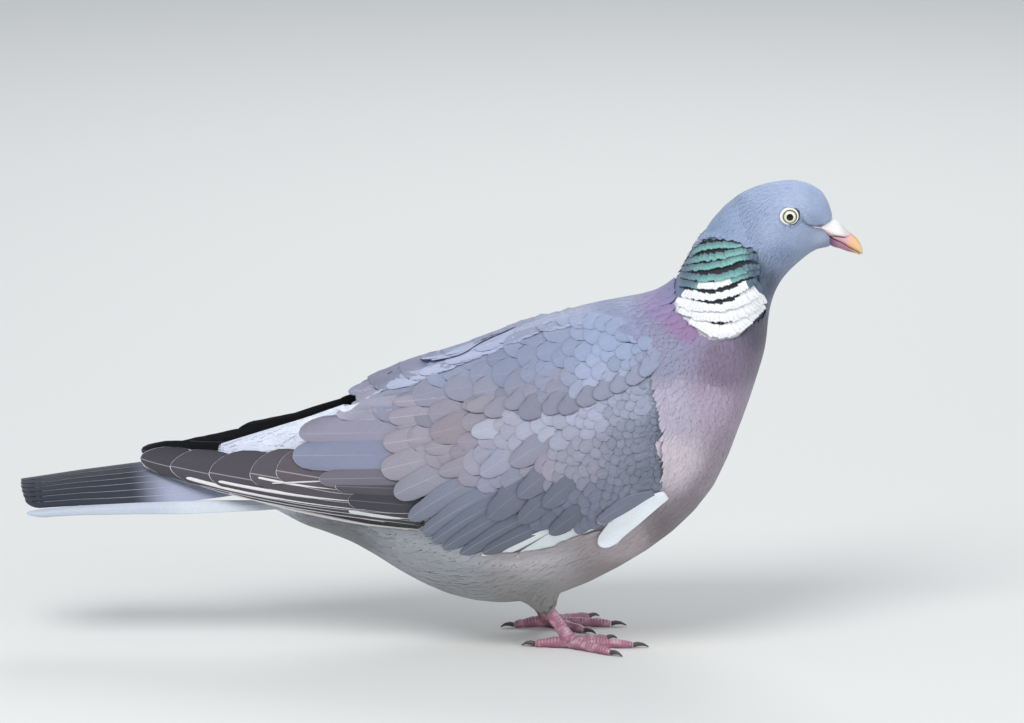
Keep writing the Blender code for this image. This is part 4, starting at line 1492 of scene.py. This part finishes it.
def claw_finish():
    """Dark horn, paler away from the ground."""
    finish = Finish("claw_horn", Roughness=0.32, Specular_IOR_Level=0.5)
    x, y, z = finish.split(finish.place())
    grain = finish.noise(finish.join(x * 300.0, y * 300.0, z * 2400.0), 1.0, 3.0)
    colour = finish.mix(grain, shade(34, 30, 32), shade(92, 82, 80))
    colour = finish.mix((z * PER_METRE).step(1.0, 4.0) * 0.5, colour, shade(120, 104, 104))
    return finish.done(colour, grain, 0.06)


# ---------------------------------------------------------------- light, floor and camera
def stage():
    """A paper floor, three lamps, a pale sky and the camera. Sizes and places are in metres."""
    floor = bmesh.new()
    bmesh.ops.create_grid(floor, x_segments=2, y_segments=2, size=6.0)
    paper = Finish("floor_paper", Base_Color=shade(226, 226, 222), Roughness=0.9)
    placed("floor", mesh_from(floor, "floor"), paper.material)

    world = bpy.data.worlds.new("studio")
    SCENE.world = world
    world.use_nodes = True
    world.node_tree.nodes["Background"].inputs["Color"].default_value = (*shade(222, 230, 242), 1.0)
    world.node_tree.nodes["Background"].inputs["Strength"].default_value = 0.55
    for name, place, size, power in (
        ("key", (-0.6, -1.2, 1.7), 1.1, 26.0),
        ("fill", (1.3, -1.0, 0.8), 1.2, 8.0),
        ("back", (0.2, 1.4, 1.3), 1.0, 10.0),
    ):
        lamp = bpy.data.lights.new(name, "AREA")
        lamp.shape, lamp.size, lamp.energy = "DISK", size, power
        obj = bpy.data.objects.new(name, lamp)
        obj.location = place
        aim = Vector((0.02, 0.0, 0.1)) - obj.location
        obj.rotation_euler = aim.to_track_quat("-Z", "Y").to_euler()
        SCENE.collection.objects.link(obj)

    camera = bpy.data.cameras.new("camera")
    camera.lens = CAMERA_LENS
    camera.clip_end = 30.0
    obj = bpy.data.objects.new("camera", camera)
    back = Vector((0.0, -math.cos(TILT), math.sin(TILT)))
    obj.location = CAMERA_AIM + back * PICTURE_WIDTH * camera.lens / camera.sensor_width
    obj.rotation_euler = (-back).to_track_quat("-Z", "Y").to_euler()
    SCENE.collection.objects.link(obj)
    SCENE.camera = obj
    SCENE.view_settings.view_transform = "Standard"


# ---------------------------------------------------------------- finishes
def feather_finish(name, roughness, sheen, gloss, rim, metal=0.0, barbs=0.5, soften=0.03):
    """A feather: its own tint, pale fringe, shaft and fine slanting barbs, with painted shade darkening its
    edge.
    """
    finish = Finish(name, Roughness=roughness, Metallic=metal)
    finish.set(Sheen_Weight=sheen, Sheen_Roughness=0.5, Specular_IOR_Level=gloss)
    along, across = finish.amount("along"), finish.amount("across")
    reach, girth = finish.amount("reach"), finish.amount("girth")
    side = abs(across)
    lot = finish.amount("lot")
    margin = ((1 - side) * girth).least((1 - along) * reach)
    pale = finish.amount("pale") * (0.4 + 0.6 * (-across * 20.0).clamp())
    fringe = 1 - (margin / (pale + 0.001)).step(0.6, 1.1)
    shaft = (1 - (side * girth).step(0.08, 0.3)) * finish.amount("shaft") * along.step(0.2, 0.7)
    edge = 1 - margin.step(0.0, 0.4)
    run = along * reach + side * girth * 0.9
    barb = (run * (2 * math.pi / barbs) + lot * 6.0).sin()
    mottle = finish.noise(finish.place(), 900.0, 3.0)
    streak = finish.noise(finish.join(run * 2.2, along * 2.0 + lot * 40.0, across * 1.5), 1.0, 3.0, 0.6)
    colour = finish.attribute("tint")
    late = along.step(0.0, 0.02)
    rooted = (1 - (along - finish.amount("parting")).step(-soften, soften)) * late
    colour = finish.mix(rooted, colour, finish.attribute("root_tint"))
    # painted shade: the vane darkens by rim towards its edge, standing in for the shadow between overlapping
    # feathers
    light = (0.80 + streak * 0.26 + mottle * 0.12 + barb * 0.018) * (1 - edge * rim)
    colour = finish.mix(1.0, colour, finish.join(light, light, light), "MULTIPLY")
    colour = finish.mix(fringe * 0.85, colour, (0.8, 0.8, 0.82))
    colour = finish.mix(shaft, colour, (0.8, 0.78, 0.76))
    return finish.done(colour, barb * 0.5 + streak * 0.8, 0.12, 0.55)


def hide_finish():
    """Downy skin in the tint of the coat over it."""
    finish = Finish("skin_under_plumage", Roughness=0.75, Specular_IOR_Level=0.25)
    down = finish.noise(finish.place(), 1400.0, 3.0, 0.6)
    colour = finish.mix(1.0, finish.attribute("tint"), finish.join(*[0.78 + down * 0.3] * 3), "MULTIPLY")
    return finish.done(colour, down, 0.2, 0.6)


# ---------------------------------------------------------------- the whole bird
RUMP_LINE = ((-124, 88), (-108, 93), (-64, 106.6), (-45, 113.4), (-38, 112))  # x, and height of its ridge
STERN_TOP = 82  # below this height the rear of the body is drawn in under the tail


def brow(p):
    """Carries the skin out to the eyes' rings, up to the rump's ridge, and in at the stern and the bill."""
    p = p.copy()
    side = np.sign(p[:, 1])
    # the eyes' rings
    r = np.hypot(p[:, 0] - EYE[0], p[:, 2] - EYE[2])
    rim = 13.55 - 0.16 * np.clip(r - 4.4, 0, 9)
    pull = ramp(-r, -9.5, -4.6) * (np.abs(p[:, 1]) > 5)
    p[:, 1] = np.where(pull > 0, side * (np.abs(p[:, 1]) + (rim - np.abs(p[:, 1])) * pull), p[:, 1])
    # the rump, the stern and the bill's base
    rump = read_off(RUMP_LINE, p[:, 0]) - 11 * (p[:, 1] / 16) ** 2
    p[:, 2] += np.maximum(0, rump - p[:, 2]) * ramp(p[:, 2], STERN_TOP, 88) * ramp(-p[:, 0], 38, 46)
    stern = ramp(-p[:, 0], 60, 104)
    p[:, 2] += np.maximum(0, STERN_TOP - p[:, 2]) * 0.5 * stern
    p[:, 1] *= 1 - 0.3 * stern
    bare = ramp(past_feathers(p), -0.3, 1.4)
    p[:, 1] *= 1 - 0.3 * bare
    p[:, 0] -= 1.2 * bare
    return p


def hide():
    """The skin under the coat, sunk by the coat's depth and tinted like it."""
    mesh = mesh_from(soft_hide("hide", SKIN_NODES, SKIN_VOXEL, 10), "skin")
    mesh.shade_smooth()
    places, normals, _ = grid_of(mesh)
    inner = brow(places - normals * coat_depth(places)[:, None])
    move_to(mesh, inner)
    mesh.update()
    store(mesh, "tint", markings(places))
    skin = placed("skin", mesh)
    finished(skin, hide_finish(), "body_plumage", *SKIN_NODES)
    return skin


def main():
    skin = hide()
    # rim sets how strongly painted shade darkens each feather's edge
    finishes = {
        "head_plumage": feather_finish("head_feathers", 0.6, 0.3, 0.3, barbs=0.35, rim=0.1),
        "neck_plumage": feather_finish("neck_feathers", 0.5, 0.3, 0.4, metal=0.1, rim=0.15),
        "body_plumage": feather_finish("body_feathers", 0.66, 0.3, 0.25, rim=0.08),
        "thigh_plumage": feather_finish("thigh_feathers", 0.7, 0.3, 0.2, rim=0.08),
        "wing_feathers": feather_finish("covert_feathers", 0.6, 0.15, 0.3, rim=0.18),
        "flight_feathers": feather_finish("quill_feathers", 0.5, 0.1, 0.4, rim=0.2),
        "tail_feathers": feather_finish("tail_quills", 0.5, 0.1, 0.4, rim=0.3, soften=0.1),
    }
    coat(skin, finishes)
    for side, suffix in SIDES:
        wing(side, suffix, finishes)
        neck(side, suffix, finishes)
    tail(finishes["tail_feathers"])
    bill_and_eyes()
    legs()
    stage()


# Of each vane: rows, columns, notch, dome, thickness and rounding; then half its width over its length.
VANES = {
    "scale": ((3, 5, 0.0, 0.005, 0.03, 0.45), 0.36),
    "notched": ((3, 6, 0.05, 0.01, 0.04, 0.45), 0.32),
    "frayed": ((3, 6, 0.1, 0.005, 0.03, 0.32), 0.2),
}
EYE_ON_SKIN, BARE_EYE = np.array((165.4, 14, 208.2)), 4.75  # no feathers this near to the eye's middle
BARE_FOOT = 14  # none on the shank below this height


def uncovered(spots, out, by_wing):
    """True where the coat grows: clear of the wings, the neck's rows, the bill, the eyes and the feet."""
    x, s = side_view(spots)
    covered = [within((*WING_COVER, *top), x, s, 0.5) for top in (BACK_LINE, WING_TOP)]
    covered = np.where(spots[:, 1] < 0, *covered)
    outer = (np.abs(spots[:, 1]) > 15) & (np.abs(out[:, 1]) > 0.2)
    on_wing = (covered > 0.5) & (outer | by_wing)
    patch = (within(NECK_BED, x, s, 0.5) > 0.5) | (within(WHITE_PATCH, x, s, 0.5) > 0.6)
    eyes = np.min([np.linalg.norm(spots - EYE_ON_SKIN * (1, side, 1), axis=1) for side, _ in SIDES], axis=0)
    bare = patch | (eyes <= BARE_EYE) | (past_feathers(spots) >= 0) | (spots[:, 2] <= BARE_FOOT)
    return ~on_wing & ~bare


def coat(skin, finishes):
    """The contour feathers of the whole body, strewn over the skin by size."""
    wings, flesh, thighs = (tree_of(*names) for names in (SKIN_NODES[5:], FLESH_NODES, FLESH_NODES[3:]))
    places, normals, corners = grid_of(skin.data)
    spacing = 0.34 * (shares(places) @ LENGTHS) + 0.12
    spots, out = strewn(places, normals, corners, 1 / spacing**2, COAT_TRIES)
    share = shares(spots)
    length = share @ LENGTHS
    kept = thinned(spots, COAT_SPACING * length + 0.2)
    spots, out, share, length = (values[kept] for values in (spots, out, share, length))
    to_wing = nearest_of(wings, spots)
    free = uncovered(spots, out, to_wing < nearest_of(flesh, spots))
    spots, out, share, length, to_wing = (values[free] for values in (spots, out, share, length, to_wing))
    lie = settled(share @ LIES + RNG.normal(0, 0.07, spots.shape), out)
    beside = ramp(-to_wing, -5.0, -1.5) * ramp(spots[:, 0], 88, 98)
    length = length * RNG.uniform(0.9, 1.15, len(length)) * (1 - 0.45 * beside)
    colour = markings(spots + lie * length[:, None] * 0.5) * RNG.normal(1, 0.03, (len(spots), 1))
    depth = coat_depth(spots)
    x, y, z = spots.T
    # each region takes what the ones before it have left
    regions = {
        "head_coat": ("head_plumage", x + 0.35 * z > 217, "scale"),
        "neck_coat": ("neck_plumage", x + 0.42 * z > 162, "notched"),
        "thigh_coat": ("thigh_plumage", (z < 31) & (nearest_of(thighs, spots) < 2.2), "notched"),
        "breast_coat": ("body_plumage", x > 60, "frayed"),
        "belly_coat": ("body_plumage", z < 84, "frayed"),
        "back_coat": ("body_plumage", z > 0, "notched"),
    }
    shapes = {kind: prototype(f"{kind}_vane", *sizes) for kind, (sizes, _) in VANES.items()}
    tree = plumage_tree()
    left = np.ones(len(spots), bool)
    for name, (slot, where, kind) in regions.items():
        where = where & left
        left &= ~where
        size = len(shapes[kind].data.polygons)
        for half, suffix in ((y < 0, "r"), (y >= 0, "l")):
            number = np.flatnonzero(where & half)
            parts = max(1, math.ceil(len(number) * size / PIECE_TRIANGLES))
            for part, chosen in enumerate(np.array_split(number[np.argsort(x[number])], parts)):
                label = f"{name}_{suffix}{part + 1 if parts > 1 else ''}"
                long, deep = length[chosen], depth[chosen]
                wide = long * VANES[kind][1]
                carrier = placed(label, mesh_of(
                    label, spots[chosen], np.zeros((0, 3), int),
                    turn=turned_to(lie[chosen], out[chosen]),
                    spread=np.stack([long, wide, 1e-4 + 0 * wide], axis=1) * MM,
                    seat=seats(spots[chosen]), tint=colour[chosen], root_tint=colour[chosen] * 0.5,
                    rise=(0.01 + deep * RNG.uniform(0.015, 0.035, len(chosen))) * MM,
                    lift=(deep * 0.54 + 0.7 * beside[chosen]) * MM,
                    reach=long, girth=wide, lot=RNG.random(len(chosen)),
                    **dict.fromkeys(("pale", "shaft", "parting"), 0 * wide),
                ))
                piece = grown(label, carrier, tree, Vane=shapes[kind], Hide=skin, Material=finishes[slot],
                              Patch=FEATHER_SEAT)
                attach(piece, "root")
    for obj in shapes.values():
        bpy.data.objects.remove(obj)


NECK_BED = (
    (116, 190), (124, 197), (141, 192), (152, 185.5), (153.5, 178), (151, 165), (146, 157), (137, 150),
    (127, 150), (120, 156), (113, 163), (112, 176),
)
# side height, and x of the feathers' edge at the bill
BILL_EDGE = ((190, 188.2), (193, 187.9), (195.6, 185), (199.3, 180.4), (200.2, 179.9), (201.3, 182.1),
             (203.9, 186.8))


def past_feathers(p):
    """How far ahead of the feathers' edge at the bill a place lies, in millimetres."""
    x, s = side_view(p)
    return x - read_off(BILL_EDGE, s)


def wing(side, suffix, finishes):
    """One wing's feathers, layer over layer, on the outer face of its nodes."""
    raised = side > 0
    nodes = [f"{name}_{suffix}" for name in WING_NODES]
    behind = [*nodes, "trunk", "neck"]
    if not raised:
        behind += ["wing_coverts_l", "wing_secondaries_l"]
    wraps = lambda x, s: (x > -46) & (s > 100 - 0.2 * x)
    sheet = Sheet(side, nodes, -165, 125, 15, 175, behind, wraps)

    def layer(name, feathers, rows, columns, *nodes, slot="wing_feathers", **looks):
        piece = laid(f"{name}_{suffix}", sheet, feathers, rows, columns, **looks)
        finished(piece, finishes[slot], slot, *nodes)

    # painted shade on the quills' lower faces, full on the far wing and less on the near one
    dark = 1.0 if raised else 0.75
    sunk = [((x, s - FAR_TERTIALS), (tip_x, tip_s - FAR_TERTIALS), *rest)
            for (x, s), (tip_x, tip_s), *rest in TERTIALS[:3]]
    tertials = (*sunk, *TERTIALS[3:]) if raised else TERTIALS
    quills = row_of(PRIMARIES, -2.0, -0.3, 0.25, 0.35, raised, tilt=0.12, dark_below=dark, rounding=0.13)
    for quill, (upper, slant) in zip(quills, BROAD_WEBS, strict=False):
        quill.update(upper=upper, slant=slant)
    quills += row_of(QUILL_STRIPES, -1.75, -0.36, 0.25, 0.0, raised, rounding=0.03)
    quills += row_of(tertials[3:], -1.15, -0.25, 0.3, 0.15, tilt=0.12, dark_below=dark, rounding=0.15)
    if raised:
        quills += row_of(FAR_QUILLS, -2.5, -0.2, 0.25, 0.0, dark_below=dark, rounding=0.12)
    layer("flight_feathers", quills, 30, 12, f"wing_primaries_{suffix}", f"wing_secondaries_{suffix}",
          slot="flight_feathers", few=True, thick=0.4, dome=0.25)

    bars = row_of(WHITE_EDGE, -1.3, -0.2, 0.5, 0.0, tilt=0.05)
    bars += row_of(ALULA, -0.5, 0.2, 0.8, 0.12, tilt=0.05)
    bars += row_of(GREATER_COVERTS[::-1], -1.25, 0.04, 0.75, 0.2, tilt=0.12)
    bars += row_of(tertials[:3], -0.7, -0.15, 0.35, 0.1, tilt=0.1, rounding=0.13)
    if not raised:
        bars[-1].update(upper=2.2, slant=2.6)
    layer("long_coverts", bars, 24, 10, few=True, thick=0.3, dome=0.15, rounding=0.2)

    large = row_of(LARGE_COVERTS, -0.95, 0.0, 0.9, 0.1, tilt=0.12, rounding=0.34)
    large += row_of(SCAPULARS, -0.95, 0.0, 1.25, 0.0, tilt=0.1, rounding=0.36)
    edge = BACK_EDGE[:5] if raised else BACK_EDGE
    large += row_of(edge, -0.85, -0.02, 0.6, 0.12, tilt=0.08, rounding=0.2)
    layer("large_coverts", large, 16, 10, few=True, thick=0.25, dome=0.15)
    layer("small_coverts", scaled_coverts(raised), 8, 8, thick=0.16, dome=0.14)


def neck(side, suffix, finishes):
    """The rows of narrow feathers on one side of the neck."""
    flesh = FLESH_NODES[:3]
    everywhere = lambda _, s: s > 0
    sheet = Sheet(side, flesh, 85, 175, 120, 215, flesh, everywhere, step=1.2, smoothing=6)
    looks = {"notch": 0.055, "rounding": 0.16, "thick": 0.16, "dome": 0.2}
    piece = laid(f"neck_rows_{suffix}", sheet, neck_feathers(), 6, 8, **looks)
    finished(piece, finishes["neck_plumage"], "neck_plumage")


def finished(piece, material, slot, *nodes):
    """Gives a piece its finish and its body, and hides the nodes it stands for; the slot is not used."""
    piece.data.materials.append(material)
    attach(piece, "root")
    if nodes:
        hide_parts(*nodes)


main()
